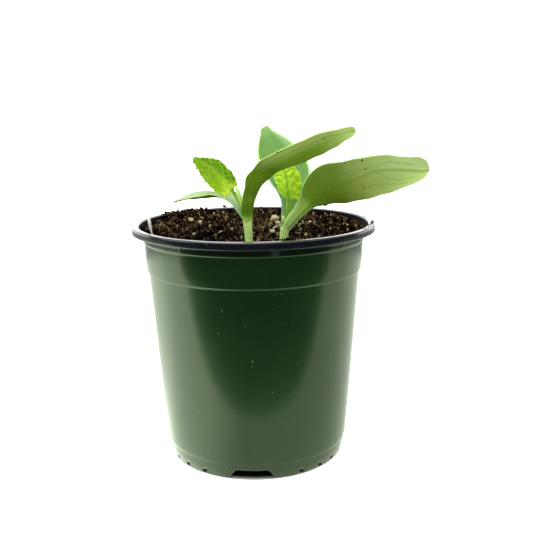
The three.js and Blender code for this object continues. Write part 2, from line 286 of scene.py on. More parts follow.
# ---------------------------------------------------------------------------------------------
# Nursery pot. Thermoformed from one sheet of co-extruded polystyrene, green outside and black
# inside, so the outward curl of the lip shows the black layer. The heel is notched all round.
# ---------------------------------------------------------------------------------------------
WALL = 1.1
POT_STEPS = 900
LEDGE = 150.0  # the upper of the two ledges, where the collar starts
COLLAR_TOP = 155.5
# radius, height, from the middle of the pad out, up the wall and round under the lip
POT_OUTSIDE = [
    (0, 0), (13.0, 0), (13.8, 0.5), (16.2, 5.6), (17.2, 6.4), (51.4, 6.4), (52.6, 5.8), (53.9, 0.7),
    (54.7, 0), (58.6, 0), (59.4, 0.25), (59.9, 0.9), (60.3, 2.0), (60.9, 3.6), (61.4, 5.6), (61.9, 8.0),
    (62.15, 9.6), (62.25, 10.1), (62.45, 10.7), (62.7, 11.4), (62.95, 12.3), (63.15, 13.4), (64.1, 25),
    (65.9, 48), (67.7, 72), (69.3, 94), (70.9, 115), (71.85, 127.6), (71.95, 128.6), (72.0, 129.2),
    (72.3, 129.5), (72.85, 129.65), (73.1, 129.9), (73.2, 130.4), (73.7, 137), (74.15, 144), (74.3, 148.4),
    (74.35, 149.4), (74.45, 149.75), (74.78, 149.85), (74.93, 150.05), (74.97, 150.4), (74.99, 152.2),
    (75.04, 155.2), (75.5, 156.1), (76.5, 156.9), (77.6, 157.5), (78.6, 157.9), (79.4, 158.2),
]
# the black layer: the curl of the lip, then down the inside to the floor
POT_INSIDE = [
    (80.2, 158.5), (81.0, 158.3), (81.45, 157.3), (81.6, 155.9), (81.75, 155.45), (82.05, 155.3),
    (82.32, 155.45), (82.46, 155.9), (82.5, 156.6), (82.5, 158.7), (82.44, 159.4), (82.22, 159.85),
    (81.85, 160.1), (81.3, 160.2), (80.2, 160.2), (78.6, 160.12), (77.95, 159.9), (77.5, 159.5),
    (77.2, 158.8), (76.7, 158.0), (75.7, 156.9), (74.7, 155.6), (74.2, 154.4), (73.95, 153.2),
    (73.8, 151.2), (73.5, 150.1), (73.2, 148.6), (72.2, 131), (71.9, 129.6), (71.1, 128.6), (70.7, 126),
    (66.6, 72), (61.7, 11), (60.9, 8.8), (59.0, 2.2), (58.2, 1.2), (55.2, 1.2), (54.6, 2.0), (53.2, 7.0),
    (51.8, 7.5), (16.6, 7.5), (15.4, 6.6), (12.8, 1.2), (0, 1.1),
]
LIP_ENDS = len(POT_OUTSIDE) + 17  # the profile point where the lip's gloss ends
THIRDS = 3
NOTCH_TURN = -3.4
# height, and half angles at the foot and at the top, of a notch in the heel
WIDE_NOTCH = (6.8, 15.4, 9.8)
NARROW_NOTCH = (3.4, 2.3, 1.5)
NARROW_ANGLES = (31.7, 46.8, 60, 73.2, 88.3)
HEEL_TOP = 9.8
HEEL_STARTS = 52.2  # radius
# the collar's ribs, where the sheet drew into folds: angle from the front and half width in degrees, and
# height in mm
RIBS = [
    (-112, 0.3, 0.2), (-98, 0.5, 0.15), (-85, 0.5, 0.3), (-75, 0.35, 0.25), (-69.5, 0.3, 0.2),
    (-54, 0.3, 0.12), (-50, 0.3, 0.16), (-37, 0.45, 0.22), (-29, 0.3, 0.16), (-11.5, 0.25, 0.14),
    (8.4, 0.3, 0.12), (11, 1.5, 0.2), (13.4, 0.3, 0.12), (30, 0.3, 0.12), (48, 0.35, 0.24),
    (57.6, 0.45, 0.18), (66, 0.3, 0.25), (79, 0.3, 0.2), (90, 0.4, 0.25), (104, 0.3, 0.2), (117, 0.4, 0.16),
    (131, 0.3, 0.22), (140, 0.5, 0.15), (156, 0.3, 0.2), (171, 0.4, 0.18), (186, 0.3, 0.22),
    (198, 0.5, 0.15), (212, 0.3, 0.2), (225, 0.35, 0.2), (236, 0.3, 0.15),
]
PANEL_LEAN = 0.08  # mm at most
OUT_OF_ROUND = [(3, 0.10, 0.6), (7, 0.06, 2.0)]  # waves round the wall, their height in mm and their phase


def notch_height(angle):
    """How far the heel is raised at an angle round the pot, in degrees from its front."""
    raised = np.zeros_like(angle)
    for third in range(THIRDS):
        for offset, (height, foot, top) in [(0, WIDE_NOTCH)] + [(a, NARROW_NOTCH) for a in NARROW_ANGLES]:
            centre = NOTCH_TURN + offset + third * 360 / THIRDS
            away = np.abs((angle - centre + 180) % 360 - 180)
            slope = np.clip((foot - away) / (foot - top), 0, 1)
            raised = np.maximum(raised, height * slope * (0.5 + slope * (1.5 - slope)))
    return raised


def ring_faces(rings, steps):
    """Faces a, b, c, d between rings of points: a and b on one ring, c and d over them on the next."""
    starts = [(i * steps + j, i * steps + (j + 1) % steps) for i in range(rings - 1) for j in range(steps)]
    return [(a, b, b + steps, a + steps) for a, b in starts]


def pot_mesh(materials):
    profile = np.array(POT_OUTSIDE + POT_INSIDE)
    outside = np.arange(len(profile)) < len(POT_OUTSIDE)
    angle = np.arange(POT_STEPS) * 360 / POT_STEPS
    raised = notch_height(angle)
    turn = np.radians(angle - 90)
    r = np.repeat(profile[:, :1], POT_STEPS, axis=1)
    z = np.repeat(profile[:, 1:], POT_STEPS, axis=1)
    # the notches lift the foot and the heel; the inside follows a wall's thickness higher
    heel = (profile[:, 0] > HEEL_STARTS) & (profile[:, 1] < HEEL_TOP)
    for row in np.nonzero(heel)[0]:
        floor_here = raised + (0 if outside[row] else WALL * (raised > 0))
        z[row] = np.maximum(z[row], floor_here)
    # the ribs stand on the collar, between the upper ledge and the lip
    rib = np.zeros_like(angle)
    for at, half, height in RIBS:
        away = (angle - at + 180) % 360 - 180
        rib = np.maximum(rib, height * np.exp(-((away / half) ** 2)))
    collar = outside & (profile[:, 1] > LEDGE + 0.4) & (profile[:, 1] < COLLAR_TOP)
    r[collar] += rib
    # the sheet lies in flat panels between the ribs, each leaning out its own way
    folds = np.sort([at % 360 for at, _, _ in RIBS])
    lean = np.random.default_rng(2844).uniform(0, 1, len(folds)) ** 2 * PANEL_LEAN
    panel = lean[np.searchsorted(folds, angle) % len(folds)]
    panel = (np.roll(panel, 1) + 2 * panel + np.roll(panel, -1)) / 4
    r[collar] += panel * np.clip((profile[collar, 1:] - LEDGE) / 4, 0, 1)
    # a thin wall is never quite round
    wander = sum(height * np.sin(waves * turn + phase) for waves, height, phase in OUT_OF_ROUND)
    side = (profile[:, 0] > 60) & (profile[:, 1] < LEDGE)
    r[side] += wander * np.sin(np.pi * np.clip(profile[side, 1:] / LEDGE, 0, 1))
    points = np.stack([r * np.cos(turn), r * np.sin(turn), z], -1).reshape(-1, 3)
    quads = ring_faces(len(profile), POT_STEPS)
    faces = [(0, c, d) for _, _, c, d in quads[:POT_STEPS]] + quads[POT_STEPS:-POT_STEPS]
    faces += [(a, b, len(points) - POT_STEPS) for a, b, _, _ in quads[-POT_STEPS:]]
    made = mesh_object("nursery_pot", points, faces, materials)
    rows = [0 if i < len(POT_OUTSIDE) - 1 else 1 if i < LIP_ENDS else 2 for i in range(len(profile) - 1)]
    made.data.polygons.foreach_set("material_index", np.repeat(rows, POT_STEPS))
    return made


def dust_on(tree, place, scale, low, high):
    """Sparse pale specks: the tops of a fine noise."""
    specks = add(tree, "ShaderNodeTexNoise", {"Vector": place, "Scale": scale, "Detail": 2.0})
    return add(tree, "ShaderNodeMapRange", {"Value": specks, "From Min": low, "From Max": high})


# Green polystyrene skin, glossy off the mould, with a little dried splash and dust. Its reflections are
# tinted green, a painted tint that stands in for the green light of the lit skin beneath them.
SPECK_SCALE = 0.52 * PER_MM  # specks about 2 mm apart
WATERMARK = 12.6  # mm to the right of the middle
green_skin, tree, surface = finish_named(
    "green_polystyrene_skin", IOR=1.6, Specular_Tint=(0.88, 1.0, 0.76, 1.0)
)
place = add(tree, "ShaderNodeTexCoord").outputs["Object"]
cloud = add(tree, "ShaderNodeTexNoise", {"Vector": place, "Scale": 0.022 * PER_MM, "Detail": 4.0})
green = add(tree, "ShaderNodeValToRGB", {"Fac": cloud}, stops=[(0.3, "#061908"), (0.75, "#0a210b")])
specks = dust_on(tree, place, SPECK_SCALE, 0.735, 0.80)
dusty = add(tree, "ShaderNodeMix", {"Factor": specks, "A": green, "B": "#5f7257"}, data_type="RGBA")
# the collar is painted darker, a painted shade under the overhang of the lip; a dried watermark crosses its
# front
axes = add(tree, "ShaderNodeSeparateXYZ", {"Vector": place}).outputs
on_collar = add(
    tree, "ShaderNodeMapRange", {"Value": axes["Z"], "From Min": LEDGE * MM, "From Max": (LEDGE + 0.8) * MM}
)
# painted shade under the lip: the collar's colour is mixed towards near black
thick = add(tree, "ShaderNodeMix", {"Factor": on_collar, "A": dusty, "B": "#020c04"}, data_type="RGBA")
from_mark = add(tree, "ShaderNodeMath", {0: axes["X"], 1: WATERMARK * MM}, operation="SUBTRACT")
from_mark = add(tree, "ShaderNodeMath", {0: from_mark}, operation="ABSOLUTE")
mark = add(
    tree, "ShaderNodeMapRange",
    {"Value": from_mark, "From Min": 1.5 * MM, "From Max": 2.9 * MM, "To Min": 1.0, "To Max": 0.0},
)
at_front = add(tree, "ShaderNodeMath", {0: axes["Y"], 1: 0.0}, operation="LESS_THAN")
for share in (on_collar, at_front):
    mark = add(tree, "ShaderNodeMath", {0: mark, 1: share}, operation="MULTIPLY")
marked = add(tree, "ShaderNodeMix", {"Factor": mark, "A": thick, "B": "#182220"}, data_type="RGBA")
orange_peel = add(tree, "ShaderNodeTexNoise", {"Vector": place, "Scale": 0.26 * PER_MM, "Detail": 1.0})
skin_bump = add(tree, "ShaderNodeBump", {"Height": orange_peel, "Strength": 0.04, "Distance": 0.4 * MM})
smears = add(tree, "ShaderNodeTexNoise", {"Vector": place, "Scale": 0.06 * PER_MM, "Detail": 5.0})
haze = add(
    tree, "ShaderNodeMapRange",
    {"Value": smears, "From Min": 0.3, "From Max": 0.8, "To Min": 0.12, "To Max": 0.19},
)
wire(surface, {"Base Color": marked, "Roughness": haze, "Normal": skin_bump})


def black_plastic(name, low, high, rough, grime, grime_from, scuff, specular=0.5):
    """Black polystyrene with grime in specks and fine scuffs."""
    made, tree, surface = finish_named(name, Roughness=rough, IOR=1.6, Specular_IOR_Level=specular)
    place = add(tree, "ShaderNodeTexCoord").outputs["Object"]
    cloud = add(tree, "ShaderNodeTexNoise", {"Vector": place, "Scale": 0.15 * PER_MM, "Detail": 3.0})
    black = add(tree, "ShaderNodeValToRGB", {"Fac": cloud}, stops=[(0.35, low), (0.8, high)])
    specks = dust_on(tree, place, 0.6 * PER_MM, grime_from, grime_from + 0.06)
    dusty = add(tree, "ShaderNodeMix", {"Factor": specks, "A": black, "B": grime}, data_type="RGBA")
    scuffs = add(tree, "ShaderNodeTexNoise", {"Vector": place, "Scale": 0.32 * PER_MM, "Detail": 3.0})
    bump = add(tree, "ShaderNodeBump", {"Height": scuffs, "Strength": scuff, "Distance": 0.4 * MM})
    wire(surface, {"Base Color": dusty, "Normal": bump})
    return made


# The black layer: drawn glossy over the curl of the lip, duller and soiled inside.
lip_black = black_plastic(
    "glossy_black_polystyrene", "#05080c", "#0b1018", rough=0.17, grime="#4a463c", grime_from=0.70,
    scuff=0.06,
)
wall_black = black_plastic(
    "soiled_black_polystyrene", "#010102", "#030405", rough=0.7, grime="#241f18", grime_from=0.68,
    scuff=0.2, specular=0.02,
)

nursery_pot = pot_mesh([green_skin, lip_black, wall_black])
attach(nursery_pot, "root")
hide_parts("pot")

# ---------------------------------------------------------------------------------------------
# Potting mix. Dark milled peat with composted bark, perlite and a few vermiculite flakes, loose
# and crumbly on top, higher towards the back of the pot.
# ---------------------------------------------------------------------------------------------
SOIL_Z = 153.0
SOIL_CLIMB = 4.8
SOIL_EDGE = 73.4
# x, y, rise, reach
SOIL_HEAPS = [
    (-50, 53, 3.0, 10), (0, 66, 0.7, 30), (-75, -3, 5.0, 15), (-60, 42, 2.8, 9), (72, -2, 3.2, 15),
    (58, 40, 2.3, 19),
]


def soil_height(x, y):
    rise = SOIL_Z + SOIL_CLIMB * ((y + SOIL_EDGE) / (2 * SOIL_EDGE)) ** 2
    rise = rise + 0.2 * np.sin(x / 7 + 1) * np.cos(y / 9)
    for at_x, at_y, height, reach in SOIL_HEAPS:
        rise = rise + height * np.exp(-((x - at_x) ** 2 + (y - at_y) ** 2) / reach**2)
    return rise


COLLAR_RADII = (73.1, 76.8)  # of the inner wall where the mix meets it
MEETS_UNDER = 1.2  # mm below the heaped surface
WALL_GAP = 0.1


def soil_reach(turn):
    """How far out the mix meets the pot's wall, which opens out towards the lip."""
    level = soil_height(SOIL_EDGE * np.cos(turn), SOIL_EDGE * np.sin(turn)) - MEETS_UNDER
    wall = np.array([(r, h) for r, h in POT_INSIDE if COLLAR_RADII[0] < r < COLLAR_RADII[1]])[::-1]
    return np.interp(level, wall[:, 1], wall[:, 0]) - WALL_GAP


def lumpy(x, y, seed, waves, shortest, longest):
    """A sum of random plane waves, about -1 to 1."""
    pick = np.random.default_rng(seed)
    total = np.zeros_like(x)
    for _ in range(waves):
        length = pick.uniform(shortest, longest)
        heading, phase = pick.uniform(0, 2 * np.pi, 2)
        total = total + np.sin(2 * np.pi * (x * np.cos(heading) + y * np.sin(heading)) / length + phase)
    return total / np.sqrt(waves / 2) / 2


SOIL_SINK = 0.9  # mm under the heaped surface, for the grains strewn on it
SOIL_LUMPS = [(5, 0.55, 3.0, 9.0), (6, 0.35, 1.4, 3.0)]  # seed, height, shortest and longest wave in mm
SOIL_RINGS = 110
SOIL_STEPS = 300
# the rest of the body, inside the pot's wall: radius and height, from the top edge down
SOIL_SIDE = [(72.6, 149.8), (71.0, 131), (69.7, 128), (65.4, 72), (61.0, 12), (58.0, 8.2), (0, 8.2)]


def soil_mesh(materials):
    turn = np.arange(SOIL_STEPS) * 2 * np.pi / SOIL_STEPS
    radii = soil_reach(turn) * np.linspace(0, 1, SOIL_RINGS + 1)[:, None]
    x = radii * np.cos(turn)
    y = radii * np.sin(turn)
    z = soil_height(x, y) - SOIL_SINK
    for seed, height, shortest, longest in SOIL_LUMPS:
        z = z + height * lumpy(x, y, seed, 40, shortest, longest)
    z[0] = z[0, 0]
    side = np.array([[(r * np.cos(t), r * np.sin(t), h) for t in turn] for r, h in SOIL_SIDE])
    points = np.concatenate([np.stack([x, y, z], -1), side]).reshape(-1, 3)
    quads = ring_faces(SOIL_RINGS + 1 + len(SOIL_SIDE), SOIL_STEPS)
    faces = [(0, d, c) for _, _, c, d in quads[:SOIL_STEPS]]
    faces += [(a, d, c, b) for a, b, c, d in quads[SOIL_STEPS:-SOIL_STEPS]]
    faces += [(b, a, len(points) - SOIL_STEPS) for a, b, _, _ in quads[-SOIL_STEPS:]]
    return mesh_object("potting_mix_body", points, faces, materials)


LEAF_SHADOW_SPOTS = [(-24, -16, 34), (56, -12, 34)]  # painted shadow of the leaves on the mix: x, y, reach in mm
LEAF_SHADOW_CORE = 0.35  # share of the reach that is darkest
LEAF_SHADOW_LEFT = 0.4  # share of the brightness that is left there


def leaf_shadowed(tree, place, unshadowed_colour):
    """The colour, darker in painted shadow under the seedlings' leaves."""
    unshadowed_share = 1.0
    for x, y, reach in LEAF_SHADOW_SPOTS:
        away = add(
            tree, "ShaderNodeVectorMath", {0: place, 1: (x * MM, y * MM, SOIL_Z * MM)}, operation="DISTANCE"
        )
        spot = add(
            tree, "ShaderNodeMapRange",
            {"Value": away, "From Min": LEAF_SHADOW_CORE * reach * MM, "From Max": reach * MM, "To Min": LEAF_SHADOW_LEFT},
        )
        unshadowed_share = add(tree, "ShaderNodeMath", {0: spot, 1: unshadowed_share}, operation="MULTIPLY")
    return add(tree, "ShaderNodeVectorMath", {0: unshadowed_colour, "Scale": unshadowed_share}, operation="SCALE")


# Moist milled peat, dark as damp peat is and painted darker still, nearly black: painted shade for the
# hollows between the grains strewn on it, with warm dark brown in its fibres.
moist_peat, tree, surface = finish_named("moist_milled_peat", Roughness=0.95, Specular_IOR_Level=0.02)
place = add(tree, "ShaderNodeTexCoord").outputs["Object"]
crumb = add(tree, "ShaderNodeTexVoronoi", {"Vector": place, "Scale": 0.7 * PER_MM})
fibre = add(tree, "ShaderNodeTexNoise", {"Vector": place, "Scale": 0.42 * PER_MM, "Detail": 6.0})
peat_and_hollow_shade = add(
    tree, "ShaderNodeValToRGB", {"Fac": fibre},
    stops=[(0.4, "#020101"), (0.6, "#080503"), (0.78, "#1c130b")],
)
peat_bump = add(tree, "ShaderNodeBump", {"Height": crumb, "Strength": 0.8, "Distance": 0.8 * MM})
wire(surface, {"Base Color": leaf_shadowed(tree, place, peat_and_hollow_shade), "Normal": peat_bump})

soil = soil_mesh([moist_peat])
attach(soil, "root")
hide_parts("potting_mix")


def grain_material(name, stops, rough, specular=0.3, takes_leaf_shadow=False):
    """A grain whose shade comes from the number that each one carries, with fine mottling on it."""
    made, tree, surface = finish_named(name, Roughness=rough, Specular_IOR_Level=specular)
    shade = add(tree, "ShaderNodeAttribute", attribute_name="shade")
    place = add(tree, "ShaderNodeTexCoord").outputs["Object"]
    mottle = add(tree, "ShaderNodeTexNoise", {"Vector": place, "Scale": 1.5 * PER_MM, "Detail": 3.0})
    mixed = add(
        tree, "ShaderNodeMath", {0: mottle, 1: 0.45, 2: shade.outputs["Fac"]}, operation="MULTIPLY_ADD"
    )
    ramp = add(tree, "ShaderNodeValToRGB", {"Fac": mixed}, stops=stops)
    # crumbs and bark under the leaves take the same painted shadow
    shown = leaf_shadowed(tree, place, ramp) if takes_leaf_shadow else ramp
    pits = add(tree, "ShaderNodeTexVoronoi", {"Vector": place, "Scale": 2.4 * PER_MM})
    bump = add(tree, "ShaderNodeBump", {"Height": pits, "Strength": 0.5, "Distance": 0.3 * MM})
    wire(surface, {"Base Color": shown, "Normal": bump})
    return made


LUMP_SHAPES = 3
LUMP_WAVES = 3.2  # noise scale on a lump 1 across
SMALL_OFTEN = 2.2  # power that makes small sizes the commoner ones
ANY_TURN = (6.283, 6.283, 6.283)


def scatter_tree(name):
    """Geometry Nodes: lumps of three shapes strewn on a surface, each with its own size, turn and shade."""
    tree = bpy.data.node_groups.new(name, "GeometryNodeTree")
    face = tree.interface
    face.new_socket("Geometry", in_out="INPUT", socket_type="NodeSocketGeometry")
    for label, kind in [
        ("Per Square Metre", "NodeSocketFloat"), ("Seed", "NodeSocketInt"), ("Smallest", "NodeSocketFloat"),
        ("Largest", "NodeSocketFloat"), ("Stretch", "NodeSocketVector"),
        ("Roughness Of Form", "NodeSocketFloat"), ("Lift", "NodeSocketFloat"),
        ("Material", "NodeSocketMaterial"), ("Gap Between", "NodeSocketFloat"),
        ("Detail Level", "NodeSocketInt"),
    ]:
        face.new_socket(label, in_out="INPUT", socket_type=kind)
    face.new_socket("Geometry", in_out="OUTPUT", socket_type="NodeSocketGeometry")
    given = add(tree, "NodeGroupInput").outputs
    spots = add(
        tree, "GeometryNodeDistributePointsOnFaces",
        {"Mesh": given["Geometry"], "Distance Min": given["Gap Between"],
         "Density Max": given["Per Square Metre"], "Seed": given["Seed"]}, distribute_method="POISSON",
    )
    joined = add(tree, "GeometryNodeJoinGeometry")
    for k in range(LUMP_SHAPES):
        ball = add(
            tree, "GeometryNodeMeshIcoSphere", {"Radius": 0.5, "Subdivisions": given["Detail Level"]}
        )
        here = add(tree, "GeometryNodeInputPosition")
        shift = add(
            tree, "ShaderNodeVectorMath", {0: here, 1: (3.7 * k, 1.3 * k, 2.1 * k)}, operation="ADD"
        )
        lumps = add(tree, "ShaderNodeTexNoise", {"Vector": shift, "Scale": LUMP_WAVES, "Detail": 2.0})
        centred = add(
            tree, "ShaderNodeVectorMath", {0: lumps.outputs["Color"], 1: (0.5, 0.5, 0.5)},
            operation="SUBTRACT",
        )
        pushed = add(
            tree, "ShaderNodeVectorMath", {0: centred, "Scale": given["Roughness Of Form"]},
            operation="SCALE",
        )
        rough = add(tree, "GeometryNodeSetPosition", {"Geometry": ball, "Offset": pushed})
        wire(joined, {"Geometry": add(tree, "GeometryNodeGeometryToInstance", {"Geometry": rough})})
    size = add(
        tree, "FunctionNodeRandomValue", {"Min": 0.0, "Max": 1.0, "Seed": given["Seed"]}, data_type="FLOAT"
    )
    small_often = add(tree, "ShaderNodeMath", {0: size, 1: SMALL_OFTEN}, operation="POWER")
    width = add(
        tree, "ShaderNodeMapRange",
        {"Value": small_often, "To Min": given["Smallest"], "To Max": given["Largest"]},
    )
    turn = add(
        tree, "FunctionNodeRandomValue", {0: (0.0, 0.0, 0.0), 1: ANY_TURN, "Seed": 7},
        data_type="FLOAT_VECTOR",
    )
    scale = add(tree, "ShaderNodeVectorMath", {0: given["Stretch"], "Scale": width}, operation="SCALE")
    strewn = add(
        tree, "GeometryNodeInstanceOnPoints",
        {"Points": spots, "Instance": joined, "Pick Instance": True, "Rotation": turn, "Scale": scale},
    )
    height = add(tree, "ShaderNodeMath", {0: width, 1: given["Lift"]}, operation="MULTIPLY")
    up = add(tree, "ShaderNodeCombineXYZ", {"Z": height})
    lifted = add(
        tree, "GeometryNodeTranslateInstances",
        {"Instances": strewn, "Translation": up, "Local Space": False},
    )
    shade = add(tree, "FunctionNodeRandomValue", {"Min": 0.0, "Max": 1.0, "Seed": 11}, data_type="FLOAT")
    marked = add(
        tree, "GeometryNodeStoreNamedAttribute", {"Geometry": lifted, "Name": "shade", "Value": shade},
        data_type="FLOAT", domain="INSTANCE",
    )
    real = add(tree, "GeometryNodeRealizeInstances", {"Geometry": marked})
    real = add(tree, "GeometryNodeSetShadeSmooth", {"Geometry": real, "Shade Smooth": False})
    dressed = add(tree, "GeometryNodeSetMaterial", {"Geometry": real, "Material": given["Material"]})
    add(tree, "NodeGroupOutput", {"Geometry": dressed})
    return tree


BED_RINGS = 36
BED_STEPS = 96
BED_HOLE = 0.5  # radius in mm, round the axis
BED_EDGE = 0.7  # mm from the wall
BED_SINK = 0.2


def bed_patch(name, keep):
    """The upper surface of the mix as a bare sheet to strew grains on, where keep(x, y) is true."""
    turn = np.linspace(0, 2 * np.pi, BED_STEPS, endpoint=False)
    radii = BED_HOLE + (soil_reach(turn) - BED_EDGE - BED_HOLE) * np.linspace(0, 1, BED_RINGS)[:, None]
    x, y = radii * np.cos(turn), radii * np.sin(turn)
    points = np.stack([x, y, soil_height(x, y) - BED_SINK], -1).reshape(-1, 3)
    quads = [(a, d, c, b) for a, b, c, d in ring_faces(BED_RINGS, BED_STEPS)]
    return mesh_object(name, points, [quad for quad in quads if keep(*points[list(quad)].mean(0)[:2])], [])


def strew(name, tree, bed, material, slot, **values):
    """Runs the scatter on a bed and keeps the result as a plain mesh piece."""
    modifier = bed.modifiers.new("scatter", "NODES")
    modifier.node_group = tree
    values = {key.replace("_", " "): value for key, value in values.items()}
    values["Material"] = material
    for item in tree.interface.items_tree:
        if item.in_out == "INPUT" and item.name in values:
            modifier[item.identifier] = values[item.name]
    graph = bpy.context.evaluated_depsgraph_get()
    mesh = bpy.data.meshes.new_from_object(bed.evaluated_get(graph), depsgraph=graph)
    bed.modifiers.remove(modifier)
    mesh.name = name
    made = bpy.data.objects.new(name, mesh)
    bpy.context.scene.collection.objects.link(made)
    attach(made, "root")


STEM_FEET = [(-3.3, -45.0), (19.3, -28.8)]
STEM_CLEARANCE = 3.6
# where the pale flakes lie: x, y and reach, and how much wider than deep the patch is
FLAKES_X, FLAKES_Y, FLAKES_REACH, FLAKES_WIDER = 15, 22, 17, 1.4


def clear_of_stems(x, y):
    return all(math.hypot(x - sx, y - sy) > STEM_CLEARANCE for sx, sy in STEM_FEET)


def near_flakes(x, y):
    return math.hypot((x - FLAKES_X) / FLAKES_WIDER, y - FLAKES_Y) < FLAKES_REACH and clear_of_stems(x, y)


lumps = scatter_tree("strewn_lumps")
bed = bed_patch("bed", clear_of_stems)
flake_bed = bed_patch("flake_bed", near_flakes)
dark_crumb = grain_material(
    "crumbled_peat", [(0.3, "#030202"), (0.65, "#120b06"), (0.88, "#37261a"), (1.0, "#5b4630")],
    rough=0.95, specular=0.02, takes_leaf_shadow=True,
)
bark = grain_material(
    "composted_bark", [(0.2, "#0e0704"), (0.6, "#3a2612"), (1.0, "#806642")], rough=0.85, specular=0.05,
    takes_leaf_shadow=True,
)
perlite = grain_material(
    "expanded_perlite", [(0.25, "#5c5234"), (0.55, "#8c8256"), (0.95, "#beb68a")], rough=0.85, specular=0.1
)
vermiculite = grain_material(
    "vermiculite_flake", [(0.25, "#433a20"), (0.6, "#837648"), (1.0, "#b3a775")], rough=0.6, specular=0.3
)
# name, bed, material, number to the square metre, seed, smallest, largest and gap in mm, stretch along
# three axes, how far the form is from a ball, how far it is raised as a share of its size, level of detail
STREWN = [
    ("fine_crumbs", bed, dark_crumb, 2.7e5, 1, 0.5, 2.0, 0.65, (1.25, 0.7, 0.55), 1.5, -0.1, 1),
    ("peat_clods", bed, dark_crumb, 5.0e4, 2, 1.4, 4.4, 2.1, (1.1, 0.75, 0.6), 1.7, 0.05, 2),
    ("bark_chips", bed, bark, 4.6e4, 3, 0.8, 3.0, 2.0, (2.0, 0.4, 0.3), 1.0, 0.2, 2),
    ("perlite_grains", bed, perlite, 0.9e4, 4, 0.5, 2.2, 1.5, (1.15, 0.8, 0.6), 1.9, 0.2, 2),
    ("vermiculite_specks", bed, vermiculite, 2.6e4, 9, 0.4, 1.3, 1.4, (1.2, 0.8, 0.5), 1.3, 0.3, 2),
    ("vermiculite_flakes", flake_bed, vermiculite, 4.5e4, 5, 1.0, 3.2, 1.7, (1.2, 0.8, 0.5), 1.3, 0.22, 2),
]
for name, under, grain, number, seed, smallest, largest, gap, stretch, rough, lift, detail in STREWN:
    strew(
        name, lumps, under, grain, "potting_mix", Per_Square_Metre=number, Seed=seed, Smallest=smallest * MM,
        Largest=largest * MM, Gap_Between=gap * MM, Stretch=stretch, Roughness_Of_Form=rough, Lift=lift,
        Detail_Level=detail,
    )
for spare in (bed, flake_bed):
    bpy.data.objects.remove(spare)


def crumb(at, size, stretch, seed):
    """One lump as points and faces: a ball of 80 faces, pushed about and turned at random."""
    pick = np.random.default_rng(seed)
    ball = bmesh.new()
    bmesh.ops.create_icosphere(ball, subdivisions=2, radius=0.5)
    points = np.array([v.co for v in ball.verts])
    faces = [[v.index for v in face.verts] for face in ball.faces]
    ball.free()
    for _ in range(8):
        heading = pick.normal(size=3)
        push = 0.13 * np.sin(points @ heading * 4.5 + pick.uniform(0, 6))
        points = points * (1 + push[:, None])
    turn = np.array(Matrix.Rotation(pick.uniform(0, 6.3), 3, Vector(pick.normal(size=3))))
    return (points * np.array(stretch)) @ turn.T * size + np.array(at), faces


def crumb_piece(name, lumps_at, material):
    """Many crumbs in one mesh, each with its own number for its shade."""
    points, faces, shades = [], [], []
    for i, (at, size, stretch) in enumerate(lumps_at):
        more, new_faces = crumb(at, size, stretch, 40 + i)
        faces += [[v + sum(len(p) for p in points) for v in face] for face in new_faces]
        points.append(more)
        shades += [(i * 0.382 + 0.7) % 1] * len(more)
    made = mesh_object(name, np.concatenate(points), faces, [material], smooth=False)
    made.data.attributes.new("shade", "FLOAT", "POINT").data.foreach_set("value", shades)
    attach(made, "root")


# crumbs that fell on the lip, and clods of the heap that leans on the back of the rim: place, size, stretch
RIM_CRUMBS = [
    ((79.3, -11.6, 160.6), 1.6, (1.3, 1.0, 0.5)), ((77.9, -14.6, 160.5), 1.0, (1.4, 0.8, 0.5)),
    ((80.2, -10.4, 160.7), 0.9, (1, 1, 0.7)), ((74.6, -25.6, 160.8), 1.5, (1.2, 0.8, 0.6)),
    ((76.0, -24.4, 160.7), 0.9, (1, 0.8, 0.7)), ((77.6, 14.0, 160.8), 1.1, (1, 0.9, 0.6)),
    ((80.6, -5.0, 160.7), 0.9, (1.3, 0.7, 0.6)), ((77.6, -27.4, 160.6), 0.9, (1, 1, 0.7)),
    ((70.4, -34.6, 160.8), 1.3, (1.2, 0.7, 0.6)), ((71.4, -37.4, 160.7), 1.0, (1, 0.8, 0.6)),
    ((-23.0, 77.0, 161.2), 2.2, (1, 0.8, 0.8)), ((-21.4, 76.6, 160.9), 1.3, (1.3, 0.7, 0.6)),
    ((-52.0, 57.0, 160.2), 3.4, (1.2, 0.9, 0.8)), ((-49.5, 59.0, 160.6), 2.8, (1, 1, 0.8)),
    ((-46.6, 60.8, 160.8), 2.9, (1.2, 0.8, 0.8)), ((-44.0, 61.6, 160.2), 2.4, (1, 0.9, 0.8)),
    ((-54.5, 54.0, 160.0), 2.6, (1.1, 0.9, 0.8)), ((-41.2, 63.0, 160.0), 1.9, (1.3, 0.8, 0.7)),
    ((-58.0, 47.5, 159.0), 2.4, (1.1, 0.9, 0.8)), ((-68.0, 28.0, 157.4), 2.6, (1.2, 0.8, 0.8)),
    ((-70.2, 20.0, 157.0), 2.4, (1.1, 0.9, 0.8)), ((-71.0, 12.0, 156.6), 2.2, (1.1, 0.8, 0.8)),
]
pick = np.random.default_rng(17)
for turn in np.radians(np.linspace(117, 149, 40)):
    out, size = pick.uniform(74.6, 79.4), pick.uniform(1.5, 3.1)
    level = 159.9 + pick.uniform(0.1, 0.45) * size
    RIM_CRUMBS.append(
        ((out * math.cos(turn), out * math.sin(turn), level), size, tuple(pick.uniform(0.6, 1.1, 3)))
    )
crumb_piece("stray_crumbs", RIM_CRUMBS, dark_crumb)

